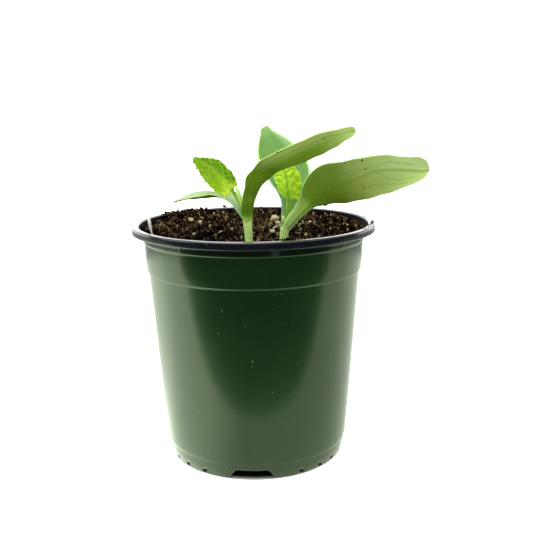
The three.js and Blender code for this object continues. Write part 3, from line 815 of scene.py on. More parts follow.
# the mix is banked up against the back wall
pick = np.random.default_rng(8)
BANKED_CLODS = []
for turn in np.radians(np.concatenate([np.arange(58, 150, 1.7), np.arange(25, 58, 3.1)])):
    out = pick.uniform(69.2, 71.6)
    size = pick.uniform(1.6, 3.2)
    x, y = out * math.cos(turn), out * math.sin(turn)
    level = float(soil_height(x, y)) + (0.5 if turn > 1 else -0.2) + pick.uniform(-0.5, 0.3)
    BANKED_CLODS.append(((x, y, level), size, tuple(pick.uniform(0.6, 1.1, 3))))
crumb_piece("banked_clods", BANKED_CLODS, dark_crumb)

# the largest perlite pieces on top of the mix: place, size, stretch
BIG_GRAINS = [
    ((15.7, 36.0, 157.6), 5.0, (1.5, 0.8, 0.7)), ((19.0, 38.0, 157.2), 3.2, (1.2, 0.9, 0.7)),
    ((13.5, 30.0, 156.6), 3.4, (1, 1, 0.7)), ((17.0, 24.0, 156.0), 3.0, (1.3, 0.8, 0.6)),
    ((11.5, 17.0, 155.4), 2.8, (1, 0.9, 0.8)), ((18.5, 14.0, 155.2), 3.2, (1.2, 0.8, 0.7)),
    ((14.5, 6.0, 154.9), 3.0, (1.1, 0.9, 0.7)), ((19.0, 0.0, 154.7), 2.8, (1, 0.9, 0.7)),
    ((13.0, -6.0, 154.4), 2.9, (1.3, 0.8, 0.7)), ((16.5, -13.0, 154.2), 3.2, (1.2, 0.9, 0.6)),
    ((-46.0, 34.5, 157.3), 3.2, (1.1, 0.9, 0.8)), ((-38.5, 27.2, 156.4), 2.6, (1, 0.9, 0.8)),
    ((-30.7, 14.8, 155.6), 2.4, (1.2, 0.8, 0.7)), ((-22.7, -10.4, 154.6), 2.8, (1, 1, 0.8)),
    ((-25.4, -20.0, 154.4), 2.2, (1.3, 0.8, 0.7)), ((-15.0, 3.6, 155.0), 2.8, (1.2, 0.8, 0.7)),
    ((40.0, 22.0, 156.0), 2.2, (1.1, 0.9, 0.8)), ((52.0, -6.0, 155.2), 2.0, (1, 1, 0.7)),
    ((34.0, -24.0, 154.4), 2.4, (1.2, 0.8, 0.7)), ((-40.0, -14.0, 154.6), 2.2, (1, 0.8, 0.8)),
]
crumb_piece("large_grains", BIG_GRAINS, perlite)

# ---------------------------------------------------------------------------------------------
# Plant label. A blank stake of thin white polystyrene sheet, die cut with rounded shoulders and a
# point, pushed into the mix beside the wall so that it shows nearly edge on.
# ---------------------------------------------------------------------------------------------
LABEL_WIDTH = 12
LABEL_THICK = 0.7
LABEL_LENGTH = 98
LABEL_POINT = 16
LABEL_POINT_END = 1.5  # half width
LABEL_SHOULDER = 1.5  # radius
LABEL_RIM = 0.12  # the cut edge is very slightly rounded
LABEL_HALF = 50  # about half its length
LABEL_SHOWN = 17
LABEL_AT = (-68.4, -12)
LABEL_FOOT = 153.9
LABEL_LEAN = 6  # degrees
LABEL_TURN = 14.5

label_sheet, tree, surface = finish_named(
    "white_polystyrene_sheet", Base_Color="#e6e6de", Roughness=0.35, Subsurface_Weight=0.2,
    Subsurface_Radius=(1.0, 1.0, 0.9), Subsurface_Scale=0.8 * MM,
)
place = add(tree, "ShaderNodeTexCoord").outputs["Object"]
stain = add(tree, "ShaderNodeTexNoise", {"Vector": place, "Scale": 0.24 * PER_MM, "Detail": 4.0})
white = add(tree, "ShaderNodeValToRGB", {"Fac": stain}, stops=[(0.35, "#dcdbd0"), (0.6, "#f4f4f0")])
wire(surface, {"Base Color": white})

half = LABEL_WIDTH / 2
shoulder = LABEL_POINT - LABEL_LENGTH
outline = [(-LABEL_POINT_END, -LABEL_LENGTH), (LABEL_POINT_END, -LABEL_LENGTH), (half, shoulder)]
for turn in np.linspace(0, np.pi / 2, 8):
    out, rise = LABEL_SHOULDER * math.cos(turn), LABEL_SHOULDER * math.sin(turn)
    outline.append((half - LABEL_SHOULDER + out, -LABEL_SHOULDER + rise))
outline += [(-x, y) for x, y in reversed(outline[3:])] + [(-half, shoulder)]
rings = []
face = LABEL_THICK / 2
for inset, level in [(LABEL_RIM, -face), (0, LABEL_RIM - face), (0, face - LABEL_RIM), (LABEL_RIM, face)]:
    rings.append([(x * (1 - inset / half), y * (1 - inset / LABEL_HALF), level) for x, y in outline])
count = len(outline)
faces = [tuple(range(count))[::-1], tuple(range(3 * count, 4 * count))]
faces += ring_faces(len(rings), count)
points = []
lean = Matrix.Rotation(math.radians(-LABEL_LEAN), 3, "Y")
lean = lean @ Matrix.Rotation(math.radians(90 + LABEL_TURN), 3, "Z")
label_foot = Vector((*LABEL_AT, LABEL_FOOT))
for x, y, level in (p for ring in rings for p in ring):
    points.append(tuple(lean @ Vector((x, -level, y + LABEL_SHOWN)) + label_foot))
plant_label = mesh_object("plant_label_blank", points, faces, [label_sheet], smooth=False)
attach(plant_label, "root")
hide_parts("plant_label")

# ---------------------------------------------------------------------------------------------
# Seedling stems. Watery, pale green hypocotyls, faintly ribbed and downy, one piece from the
# seed's depth up to the node where the two cotyledons clasp them.
# ---------------------------------------------------------------------------------------------
LEFT_STEM = [
    (-8, -41, 88, 0.5), (-5, -43, 108, 1.4), (-3.4, -44.6, 130, 2.2), (-3.2, -45, 147, 2.4),
    (-3.3, -45, 157, 2.5), (-4.1, -45, 170, 2.95),
]
RIGHT_STEM = [
    (22, -33, 92, 0.5), (20, -31, 110, 1.5), (19, -29, 132, 2.3), (19, -28.7, 150, 2.6),
    (20.3, -28.5, 161.4, 3.0),
]


def smooth_path(points, t):
    """A curve through the points, at shares t of its way."""
    points = np.asarray(points, float)
    last = len(points) - 1
    padded = np.vstack([2 * points[0] - points[1], points, 2 * points[-1] - points[-2]])
    at = np.asarray(t) * last
    i = np.clip(np.floor(at).astype(int), 0, last - 1)
    w = (at - i)[:, None]
    before, here, there, after = padded[i], padded[i + 1], padded[i + 2], padded[i + 3]
    lead, trail = 0.5 * (there - before), 0.5 * (after - here)
    square = 3 * (there - here) - 2 * lead - trail
    cube = 2 * (here - there) + lead + trail
    return here + lead * w + square * w**2 + cube * w**3


def unit(vectors):
    return vectors / np.linalg.norm(vectors, axis=-1, keepdims=True)


def loft(rings, sides):
    """Faces of a skin over rings of points, whose ends are closed by a fan on a middle point."""
    faces = ring_faces(rings, sides)
    first, final = rings * sides, rings * sides + 1
    for j in range(sides):
        k = (j + 1) % sides
        faces.append((first, k, j))
        faces.append((final, (rings - 1) * sides + j, (rings - 1) * sides + k))
    return faces


def stalk(name, stations, material, ribs, lumpiness, steps, sides):
    """A ribbed, tapering stalk along stations of x, y, z and radius."""
    t = np.linspace(0, 1, steps)
    path = smooth_path(stations, t)
    middle, radius = path[:, :3], path[:, 3]
    along = unit(np.gradient(middle, axis=0))
    side = unit(np.cross((0, 1, 0), along))
    front = np.cross(along, side)
    a = np.linspace(0, 2 * np.pi, sides, endpoint=False)
    wave = 1 + ribs * np.sin(5 * a[None, :] + 1.2 * t[:, None])
    wave = wave + lumpiness * np.sin(3 * a[None, :] + 19 * t[:, None])
    length = np.sum(np.linalg.norm(np.diff(middle, axis=0), axis=1))
    dome = np.sqrt(np.clip((1 - t) * length / radius[-1], 0.01, 1))
    r = radius[:, None] * wave * dome[:, None]
    skin = middle[:, None] + r[..., None] * (
        np.cos(a)[None, :, None] * side[:, None] + np.sin(a)[None, :, None] * front[:, None]
    )
    points = np.vstack([skin.reshape(-1, 3), middle[:1], middle[-1:]])
    made = mesh_object(name, points, loft(steps, sides), [material])
    share = np.concatenate([np.repeat(t, sides), [0, 1]])
    made.data.attributes.new("along", "FLOAT", "POINT").data.foreach_set("value", share)
    return made


# Watery hypocotyl skin: pale green, a little darker towards the node, streaked along its length.
stem_skin, tree, surface = finish_named(
    "hypocotyl_skin", Roughness=0.42, Subsurface_Weight=0.35, Subsurface_Radius=(0.7, 1.0, 0.35),
    Subsurface_Scale=1.6 * MM,
)
along = add(tree, "ShaderNodeAttribute", attribute_name="along").outputs["Fac"]
place = add(tree, "ShaderNodeTexCoord").outputs["Object"]
stretch = add(tree, "ShaderNodeMapping", {"Vector": place, "Scale": (1.0, 1.0, 0.07)})
streaks = add(tree, "ShaderNodeTexNoise", {"Vector": stretch, "Scale": 1.4 * PER_MM, "Detail": 3.0})
greener = add(
    tree, "ShaderNodeValToRGB", {"Fac": along},
    stops=[(0.7, "#bcde7c"), (0.93, "#b0d470"), (0.985, "#84ac40"), (1.0, "#64901c")],
)
streaked = add(tree, "ShaderNodeMix", {"Factor": streaks, "A": greener, "B": "#cbe88e"}, data_type="RGBA")
stem_bump = add(tree, "ShaderNodeBump", {"Height": streaks, "Strength": 0.25, "Distance": 0.3 * MM})
wire(surface, {"Base Color": streaked, "Normal": stem_bump})

left_stem = stalk("left_hypocotyl", LEFT_STEM, stem_skin, ribs=0.03, lumpiness=0.01, steps=120, sides=40)
right_stem = stalk("right_hypocotyl", RIGHT_STEM, stem_skin, ribs=0.03, lumpiness=0.01, steps=120, sides=40)
for piece, node in ((left_stem, "left_stem"), (right_stem, "right_stem")):
    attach(piece, "root")
    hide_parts(node)

# ---------------------------------------------------------------------------------------------
# Cotyledons. Four thick, smooth seed leaves, each one piece with its clasping stalk. Glaucous
# above, olive green below, with a painted rim highlight along the thin edge, and a few sunken veins.
# ---------------------------------------------------------------------------------------------
ROOT_RINGS = 14  # of each leaf's foot, which runs down inside its stem
TIP_RINGS = 30  # crowded together towards a leaf's tip
TIP = 0.05  # share of a leaf's length that is rounded off
LEAST_HALF = 0.12  # mm


def eased(values, t, smoothing):
    """Values evenly spread along a leaf, or pairs of share and value, joined and rounded off."""
    values = np.array(values, float)
    at, height = (np.linspace(0, 1, len(values)), values) if values.ndim == 1 else values.T
    around = np.linspace(-smoothing, smoothing, 9)
    return np.mean([np.interp(np.clip(t + shift, 0, 1), at, height) for shift in around], axis=0)


def near_lines(u, w, lines):
    """Distance in mm from flat leaf points (u along, w across) to the nearest of some lines."""
    best = np.full(u.shape, 1e9)
    for line in lines:
        for (u0, w0), (u1, w1) in zip(line[:-1], line[1:]):
            du, dw = u1 - u0, w1 - w0
            share = np.clip(((u - u0) * du + (w - w0) * dw) / max(du * du + dw * dw, 1e-9), 0, 1)
            best = np.minimum(best, np.hypot(u - u0 - share * du, w - w0 - share * dw))
    return best


def leaf_piece(
    name, mid, low, high, turn, cup, faces_to, root, stalk_thick, blade_thick, main_veins, side_veins,
    materials, main_depth=0.3, side_depth=0.15, main_width=0.85, side_width=0.6, crinkle=0.0,
    crinkle_length=3.0, tooth=(0.0, 0.0), tooth_every=2.2, ruffle=0.0, sweep=(0.0, 0.0), blade_from=0.0,
    smoothing=0.03, tip=TIP, steps=170, across=44, seed=1,
):
    """A leaf with its stalk: a flattened, cupped section carried along the midrib, with veins and teeth.

    low and high are its half widths on either side of the midrib, in mm. Veins are lines of shares along
    and across it. blade_from is where a bare stalk ends, and sweep how far the blade's lobes reach back past
    that. The upper side has materials[0], the under side materials[1]. It gives back the piece and the
    points of its underside.
    """
    # the midrib, its half widths, and the way that each section lies
    evenly = np.linspace(0, 1 - 2 * tip, steps - TIP_RINGS, endpoint=False)
    t = np.concatenate([evenly, 1 - 2 * tip * np.cos(np.linspace(0, np.pi / 2, TIP_RINGS))])
    t[-1] = 1
    middle = smooth_path(mid, t)
    tangent = unit(smooth_path(mid, np.clip(t + 1e-3, 0, 1)) - smooth_path(mid, np.clip(t - 1e-3, 0, 1)))
    rounded_tip = np.sqrt(np.clip(1 - np.clip((t - 1 + tip) / tip, 0, 1) ** 2, 0.0, 1))
    body = np.minimum(t, 1 - tip)
    halves = [np.maximum(eased(side, body, smoothing) * rounded_tip, LEAST_HALF) for side in (low, high)]
    angle = np.radians(eased(turn, t, 0.05))
    level = unit(np.cross(tangent, faces_to))
    above = np.cross(level, tangent)
    side = np.cos(angle)[:, None] * level + np.sin(angle)[:, None] * above
    up = np.cos(angle)[:, None] * above - np.sin(angle)[:, None] * level
    length = np.concatenate([[0], np.cumsum(np.linalg.norm(np.diff(middle, axis=0), axis=1))])
    # points across it, closer together at the edges
    even = np.linspace(-1, 1, across)
    v = 0.6 * even + 0.4 * np.sin(even * np.pi / 2)
    width = np.where(v[None, :] < 0, halves[0][:, None], halves[1][:, None])
    mean_width = (halves[0] + halves[1]) / 2
    # how much of a blade it is here, from 0 on the stalk to 1
    if blade_from:
        broad = np.clip((t - blade_from) / 0.06, 0, 1)
    else:
        broad = np.clip((mean_width / mean_width[0] - 1) / 1.6, 0, 1)
        broad = np.where(t > 0.5, 1, broad)
    broad = broad * broad * (3 - 2 * broad)
    thick = (stalk_thick + (blade_thick - stalk_thick) * broad) * np.minimum(1, 0.45 + mean_width / 4)

    def flat(line):
        shares = np.array(line, float)
        finer = smooth_path(shares, np.linspace(0, 1, 4 * len(shares))) if len(shares) > 2 else shares
        s = np.clip(finer[:, 0], 0, 1)
        reach = np.where(finer[:, 1] < 0, np.interp(s, t, halves[0]), np.interp(s, t, halves[1]))
        return list(zip(np.interp(s, t, length), finer[:, 1] * reach))

    # veins, from the distance to their lines on the leaf laid flat
    u = np.repeat(length[:, None], across, 1)
    w = width * v[None, :]
    main = np.exp(-((near_lines(u, w, [flat(line) for line in main_veins]) / main_width) ** 2))
    fine = np.exp(-((near_lines(u, w, [flat(line) for line in side_veins]) / side_width) ** 2))
    vein = np.maximum(main, 0.6 * fine)
    # ruffles, crinkles between the veins, and teeth on the edge
    spread = broad[:, None]
    sheet = ruffle * lumpy(u, w, seed, 24, 9, 22) * (0.25 + 0.75 * np.abs(v[None, :]) ** 1.5) * spread
    puckered = lumpy(u, w, seed + 1, 60, crinkle_length, 1.9 * crinkle_length)
    sheet = sheet + crinkle * puckered * spread * (1 - 0.75 * vein)
    saw = np.clip(1 - np.abs((length / tooth_every) % 1 - 0.5) / 0.15, 0, 1) * broad
    saw = saw * np.clip(mean_width / 3, 0, 1)
    tall = np.where(v < 0, tooth[0], tooth[1])[None, :]
    edge = np.abs(v[None, :]) ** 3
    reach = w + np.sign(w) * tall * saw[:, None] * edge
    # the two skins, with the blade's lobes swept back past the top of the stalk
    rounded = np.sqrt(np.clip(1 - np.abs(v) ** 26, 0, 1))
    deep = thick[:, None] / 2 * (0.3 + 0.7 * (1 - v * v)) * rounded
    groove = np.minimum(main_depth * main + side_depth * fine, 0.6 * deep)
    cupped = np.where(v[None, :] < 0, eased(cup[0], t, 0.08)[:, None], eased(cup[1], t, 0.08)[:, None])
    lift = cupped * v * v * width + sheet
    back = np.clip((t - blade_from) / 0.03, 0, 1) * np.clip((blade_from + 0.35 - t) / 0.35, 0, 1)
    back = back[:, None] * np.where(v < 0, sweep[0], sweep[1])[None, :] * np.abs(v)[None, :] ** 1.5
    centre = middle[:, None] - tangent[:, None] * back[..., None]
    top = centre + side[:, None] * reach[..., None] + up[:, None] * (lift + deep - groove)[..., None]
    low_skin = centre + side[:, None] * reach[..., None] + up[:, None] * (lift - deep + groove)[..., None]
    ring = np.concatenate([top, low_skin[:, ::-1][:, 1:-1]], axis=1)
    # the foot runs on down into the stem, on a bend from the stem's own axis
    s = np.linspace(0, 1, ROOT_RINGS, endpoint=False)
    root, first = np.array(root, float), middle[0]
    bend = first - tangent[0] * np.linalg.norm(first - root) * 0.5
    path = (1 - s)[:, None] ** 2 * root + (2 * s * (1 - s))[:, None] * bend + (s**2)[:, None] * first
    shape = (ring[0] - first)[None] * (0.3 + 0.7 * s**4)[:, None, None]
    ring = np.concatenate([path[:, None] + shape, ring])
    sides = ring.shape[1]
    points = np.vstack([ring.reshape(-1, 3), ring[0].mean(0), ring[-1].mean(0)])
    rings = len(ring)
    made = mesh_object(name, points, loft(rings, sides), materials)
    under = [0 if j < across - 1 else 1 for j in range(sides)] * (rings - 1) + [0, 0] * sides
    made.data.polygons.foreach_set("material_index", under)

    def carry(label, values, root_value):
        values = np.concatenate([values, values[:, ::-1][:, 1:-1]], axis=1)
        values = np.concatenate([np.repeat(root_value, ROOT_RINGS, 0), values])
        values = np.append(values.reshape(-1), [values[0, 0], values[-1, -1]])
        kept = made.data.attributes.new(label, "FLOAT", "POINT")
        kept.data.foreach_set("value", values.astype(np.float32))

    sideways = np.repeat(v[None, :], len(t), 0)
    turned = np.concatenate([v, v[::-1][1:-1]])[None, :]
    carry("along", np.repeat(t[:, None], across, 1), np.zeros((1, sides)))
    carry("across", sideways, turned)
    carry("vein", vein, np.zeros((1, sides)))
    return made, low_skin


def leaf_skin(
    name, stops, tint, tint_from, tint_to, vein_tint, margin_highlight, vein_share=0.5, rough=0.46, bleed=0.3,
    tint_along=(0.0, 0.02), tint_share=1.0, mottle=0.16, net_share=0.2, specular=0.15, margin_from=0.95,
):
    """Leaf skin. Its shade runs along the leaf, shifts to a tint across it, and follows veins and a pale
    edge, a painted rim highlight.
    """
    made, tree, surface = finish_named(
        name, Roughness=rough, Specular_IOR_Level=specular, Subsurface_Weight=bleed,
        Subsurface_Radius=(0.6, 1.0, 0.15), Subsurface_Scale=1.6 * MM,
    )
    place = add(tree, "ShaderNodeTexCoord").outputs["Object"]
    along = add(tree, "ShaderNodeAttribute", attribute_name="along").outputs["Fac"]
    across = add(tree, "ShaderNodeAttribute", attribute_name="across").outputs["Fac"]
    vein = add(tree, "ShaderNodeAttribute", attribute_name="vein").outputs["Fac"]
    cloud = add(tree, "ShaderNodeTexNoise", {"Vector": place, "Scale": 0.13 * PER_MM, "Detail": 3.0})
    away = add(tree, "ShaderNodeMath", {0: cloud, 1: 0.5}, operation="SUBTRACT")
    root = add(tree, "ShaderNodeMapRange", {"Value": along, "To Max": mottle, "From Max": 0.3})
    run = add(tree, "ShaderNodeMath", {0: away, 1: root, 2: along}, operation="MULTIPLY_ADD")
    base = add(tree, "ShaderNodeValToRGB", {"Fac": run}, stops=stops)
    shift = add(
        tree, "ShaderNodeMapRange", {"Value": across, "From Min": tint_from, "From Max": tint_to},
        interpolation_type="SMOOTHSTEP",
    )
    onset = add(
        tree, "ShaderNodeMapRange",
        {"Value": along, "From Min": tint_along[0], "From Max": tint_along[1], "To Max": tint_share},
        interpolation_type="SMOOTHSTEP",
    )
    tinting = add(tree, "ShaderNodeMath", {0: shift, 1: onset}, operation="MULTIPLY")
    tinted = add(tree, "ShaderNodeMix", {"Factor": tinting, "A": base, "B": tint}, data_type="RGBA")
    # areoles, the net of the finest veins, about 1 mm across
    net = add(
        tree, "ShaderNodeTexVoronoi", {"Vector": place, "Scale": 0.85 * PER_MM},
        feature="DISTANCE_TO_EDGE",
    )
    mesh_line = add(
        tree, "ShaderNodeMapRange", {"Value": net, "From Max": 0.12, "To Min": net_share, "To Max": 0.0}
    )
    netted = add(
        tree, "ShaderNodeMix", {"Factor": mesh_line, "A": tinted, "B": vein_tint}, data_type="RGBA"
    )
    share = add(tree, "ShaderNodeMath", {0: vein, 1: vein_share}, operation="MULTIPLY")
    veined = add(tree, "ShaderNodeMix", {"Factor": share, "A": netted, "B": vein_tint}, data_type="RGBA")
    out = add(tree, "ShaderNodeMath", {0: across}, operation="ABSOLUTE")
    # painted rim highlight: the outer edge of the blade is mixed to its pale edge colour
    rim_share = add(
        tree, "ShaderNodeMapRange", {"Value": out, "From Min": margin_from, "From Max": margin_from + 0.04}
    )
    bladed = add(tree, "ShaderNodeMapRange", {"Value": along, "From Min": 0.08, "From Max": 0.2})
    rim_here = add(tree, "ShaderNodeMath", {0: rim_share, 1: bladed}, operation="MULTIPLY")
    final = add(tree, "ShaderNodeMix", {"Factor": rim_here, "A": veined, "B": margin_highlight}, data_type="RGBA")
    bump = add(tree, "ShaderNodeBump", {"Height": net, "Strength": 0.22, "Distance": 0.3 * MM})
    wire(surface, {"Base Color": final, "Normal": bump})
    return made


# its pale tint over the outer part of one half, from past halfway to the tip, is a painted sheen where the
# blade turns up to the light
glaucous_top = leaf_skin(
    "glaucous_cotyledon_top",
    [(0.0, "#a4c87c"), (0.02, "#7fa870"), (0.3, "#6a985c"), (0.5, "#6a9648"), (0.7, "#669242"),
     (0.88, "#6a9444"), (1.0, "#86b264")],
    tint="#a8c690", tint_from=0.35, tint_to=0.95, vein_tint="#8cb874", margin_highlight="#bcdc98",
    tint_along=(0.6, 0.8), vein_share=0.35, specular=0.25, margin_from=0.88,
)
# A paler copy of the cotyledon top: its pale colours are a painted sheen, where the blade is seen at a
# grazing angle
sheen_painted_top = leaf_skin(
    "cotyledon_top_painted_sheen",
    [(0.0, "#a4c87c"), (0.02, "#8fb484"), (0.3, "#9cbe86"), (0.4, "#6c8c44"), (0.5, "#547424"),
     (0.6, "#64823a"), (0.75, "#7c9a60"), (0.92, "#84a06c"), (1.0, "#54742a")],
    tint="#98b684", tint_from=0.0, tint_to=1.0, vein_tint="#a8c490", margin_highlight="#a4c080", vein_share=0.35,
    tint_share=0.5, specular=0.2, tint_along=(0.58, 0.72),
)
olive_under = leaf_skin(
    "olive_cotyledon_underside",
    [(0.0, "#a8cc68"), (0.02, "#8cb244"), (0.045, "#5c8414"), (0.075, "#486c06"), (0.12, "#4a6c08"),
     (0.18, "#547010"), (0.24, "#425f06"), (0.33, "#4e6a0c"), (0.45, "#3b5606"), (0.55, "#567018"),
     (0.63, "#4b6512"), (0.72, "#536e17"), (0.81, "#6c8232"), (0.9, "#849c4e"), (1.0, "#8fa556")],
    tint="#7b8b4c", tint_from=0.05, tint_to=0.7, vein_tint="#4c6018", margin_highlight="#b9d67e",
    tint_along=(0.36, 0.5), tint_share=0.6, vein_share=0.42, mottle=0.07, specular=0.08,
)
# its dark vein tint is painted shade, the shaded side of the raised veins on the underside
broad_under = leaf_skin(
    "broad_cotyledon_underside",
    [(0.0, "#c4ea8c"), (0.05, "#bce284"), (0.12, "#bae080"), (0.17, "#b0d670"), (0.23, "#94b850"),
     (0.31, "#587818"), (0.40, "#4e690f"), (0.55, "#53691a"), (0.64, "#64742c"), (0.74, "#6c7e38"),
     (0.85, "#7f934e"), (1.0, "#90a65e")],
    tint="#84965e", tint_from=-0.2, tint_to=0.7, vein_tint="#4a6024", margin_highlight="#a4bc7c",
    tint_along=(0.46, 0.95), vein_share=0.55, mottle=0.07, specular=0.1,
)

LEFT_ROOT = (-3.6, -45.0, 161.0)
RIGHT_ROOT = (20.0, -28.5, 153.0)
COTYLEDONS = {
    "left_cotyledon_right": dict(
        mid=[(-3.6, -46.8, 168.4), (-2.7, -48.4, 180.3), (3, -49.5, 193), (15.5, -52.5, 203),
             (35, -53, 211.5), (52.5, -52.3, 218.9), (62.4, -51.8, 222.9)],
        low=[3.1, 3.4, 4.0, 4.5, 5.0, 5.9, 7.1, 7.9, 8.3, 8.7, 9.6, 11.6, 12.7, 12.1, 12.0, 11.6, 10.9, 8.8,
             7.5, 6.1, 3.5],
        high=[3.1, 4.0, 4.5, 5.0, 5.5, 6.4, 8.6, 10.5, 11.2, 12.0, 11.8, 11.2, 11.7, 12.0, 11.4, 10.2, 9.2,
              8.0, 6.2, 4.0, 2.0],
        turn=[0, 0, 0, -1, 0, 1, 1], cup=([0.1], [0.1]), faces_to=(-0.3, 0.6, 0.75), root=LEFT_ROOT,
        stalk_thick=3.4, blade_thick=1.5,
        main_veins=[[(0, 0), (0.1, 0.2), (0.175, 0.35), (0.25, 0.48), (0.39, 0.46), (0.5, 0.47),
                     (0.6, 0.55), (0.78, 0.52), (0.9, 0.3), (1, 0)]],
        side_veins=[[(0.1, -0.2), (0.363, -0.15), (0.449, -0.16), (0.609, -0.26), (0.8, -0.45),
                     (0.93, -0.4)],
                    [(0.2, 0.6), (0.4, 0.85), (0.6, 0.85), (0.8, 0.8)],
                    [(0.5, -0.6), (0.65, -0.7), (0.8, -0.75)],
                    [(0.62, 0.55), (0.7, 0.3), (0.8, 0.1), (0.9, -0.1)],
                    [(0.0, -0.5), (0.2, -0.6), (0.35, -0.7)]],
        materials=[glaucous_top, olive_under], main_depth=0.35, side_depth=0.18, ruffle=0.65, seed=11,
    ),
    "left_cotyledon_left": dict(
        mid=[(-5.0, -43.4, 168.6), (-11.5, -41, 178.3), (-19, -37, 182.2), (-30, -28.5, 181.1),
             (-42, -19.5, 179.4), (-52.4, -13, 176.2)],
        low=[2.8, 4.0, 4.8, 6.5, 8.2, 9.6, 10.4, 9.9, 8, 5.5, 2],
        high=[2.8, 4.0, 4.8, 6.5, 8.2, 9.6, 10.4, 9.9, 8, 5.5, 2], turn=[8, 6, 4, 0, 3, 4],
        cup=([(0, 0.1), (0.2, 0.15), (0.32, 0.3), (0.40, 0.42), (0.48, 0.36), (0.56, 0.16), (0.7, 0.12),
              (0.85, 0.12), (1, 0.1)], [(0, 0.1), (0.4, 0.1), (0.6, 0.15), (0.8, 0.3), (1, 0.2)]),
        faces_to=(0, -0.1, 1), root=LEFT_ROOT, stalk_thick=3.0, blade_thick=1.5,
        main_veins=[[(0, 0), (0.3, 0.02), (0.6, 0.0), (1, 0)]],
        side_veins=[[(0.1, 0.1), (0.3, 0.4), (0.55, 0.55), (0.8, 0.5)],
                    [(0.1, -0.1), (0.3, -0.4), (0.55, -0.55), (0.8, -0.5)],
                    [(0.0, -0.5), (0.15, -0.6), (0.3, -0.7)], [(0.0, 0.5), (0.15, 0.6), (0.3, 0.7)],
                    [(0.45, 0), (0.6, 0.25), (0.8, 0.3)], [(0.5, 0), (0.62, -0.25), (0.82, -0.3)]],
        materials=[sheen_painted_top, olive_under], ruffle=0.3, seed=12,
    ),
    "right_cotyledon_right": dict(
        mid=[(21.3, -29.9, 160.0), (26, -31.6, 167), (35, -34, 177.2), (46, -35.4, 185.2), (60, -37.5, 189),
             (78, -38, 192.3), (97, -36, 195), (112, -33.5, 197)],
        low=[3.2, 3.6, 4.1, 4.5, 5.3, 6.4, 8.3, 11.3, 14.0, 15.6, 16.7, 17.7, 17.7, 17.5, 17.1, 16.4, 15.1,
             13.4, 11.2, 7.5, 4],
        high=[3.2, 3.9, 4.4, 4.6, 4.7, 5.4, 8.8, 13.3, 16.2, 17.8, 18.1, 17.3, 16.8, 16.8, 16.8, 15.8, 14.1,
              12.2, 10.1, 7.2, 4],
        turn=[0, 0, 1, 3, 1, 1, 0, 1], cup=([0.13], [0.13]), faces_to=(-0.2, 0.8, 0.5), root=RIGHT_ROOT,
        stalk_thick=3.2, blade_thick=1.5,
        main_veins=[[(0, -0.1), (0.15, -0.3), (0.311, -0.35), (0.414, -0.15), (0.504, 0.03), (0.591, 0.12),
                     (0.662, 0.29), (0.682, 0.35), (0.752, 0.35), (0.81, 0.3), (0.882, 0.18), (0.947, 0),
                     (1, 0)]],
        side_veins=[[(0.3, 0.5), (0.353, 0.71), (0.411, 0.74), (0.466, 0.8), (0.529, 0.83)],
                    [(0.34, 0.1), (0.426, 0.14), (0.476, 0.26), (0.516, 0.41), (0.551, 0.5), (0.637, 0.54),
                     (0.707, 0.6)],
                    [(0.69, 0.36), (0.704, 0.45), (0.722, 0.6), (0.742, 0.68), (0.787, 0.7), (0.842, 0.64),
                     (0.887, 0.54)],
                    [(0.311, -0.35), (0.388, -0.52), (0.474, -0.47), (0.541, -0.4), (0.579, -0.47),
                     (0.596, -0.65)],
                    [(0.56, -0.5), (0.599, -0.59), (0.632, -0.4), (0.662, -0.29), (0.702, -0.26),
                     (0.742, -0.31), (0.81, -0.5), (0.87, -0.6)],
                    [(0.7, 0.35), (0.747, 0.11), (0.779, -0.09), (0.825, -0.26), (0.9, -0.3)],
                    [(0.02, 0.5), (0.12, 0.45), (0.25, 0.4)], [(0.02, -0.6), (0.12, -0.65), (0.25, -0.7)]],
        materials=[glaucous_top, broad_under], main_depth=0.4, side_depth=0.25, ruffle=0.55, tip=0.12,
        seed=13,
    ),
    "right_cotyledon_back": dict(
        mid=[(19.9, -27.6, 160.0), (21.4, -24, 175.5), (23.2, -19, 186), (21.8, -13.4, 197.5),
             (13.4, -8.6, 212.5), (8.2, -6.2, 224.3)],
        low=[2.4, 2.5, 2.6, 2.8, 3.6, 5.1, 7.8, 10.0, 11.3, 13.4, 14.8, 15.5, 15.9, 16.2, 15.5, 14.4, 12.1,
             9.3, 7.0, 4.6, 2],
        high=[2.4, 2.8, 3.2, 5.0, 6.8, 7.9, 8.7, 9.8, 11.3, 12.7, 14.4, 15.8, 15.1, 14.6, 13.5, 12.1, 10.5,
              8.4, 6.0, 3.4, 2],
        turn=[0, 1, 2, -2, -2, 1], cup=([0.07], [0.07]), faces_to=(0.1, -0.9, 0.35), root=RIGHT_ROOT,
        stalk_thick=2.8, blade_thick=1.4,
        main_veins=[[(0, 0), (0.3, -0.05), (0.6, -0.05), (0.86, -0.05), (1, 0)]],
        side_veins=[[(0.2, -0.2), (0.4, -0.45), (0.65, -0.55), (0.9, -0.4)],
                    [(0.2, 0.2), (0.4, 0.45), (0.65, 0.55), (0.9, 0.4)],
                    [(0.45, 0), (0.65, 0.25), (0.85, 0.25)], [(0.45, -0.05), (0.65, -0.3), (0.85, -0.25)],
                    [(0.3, -0.4), (0.5, -0.75), (0.75, -0.8)], [(0.3, 0.4), (0.5, 0.75), (0.75, 0.8)]],
        materials=[glaucous_top, olive_under], ruffle=0.6, tip=0.045, seed=14,
    ),
}
undersides = {}
for node, shape in COTYLEDONS.items():
    piece, undersides[node] = leaf_piece(node + "_blade", **shape)
    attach(piece, "root")
    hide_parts(node)

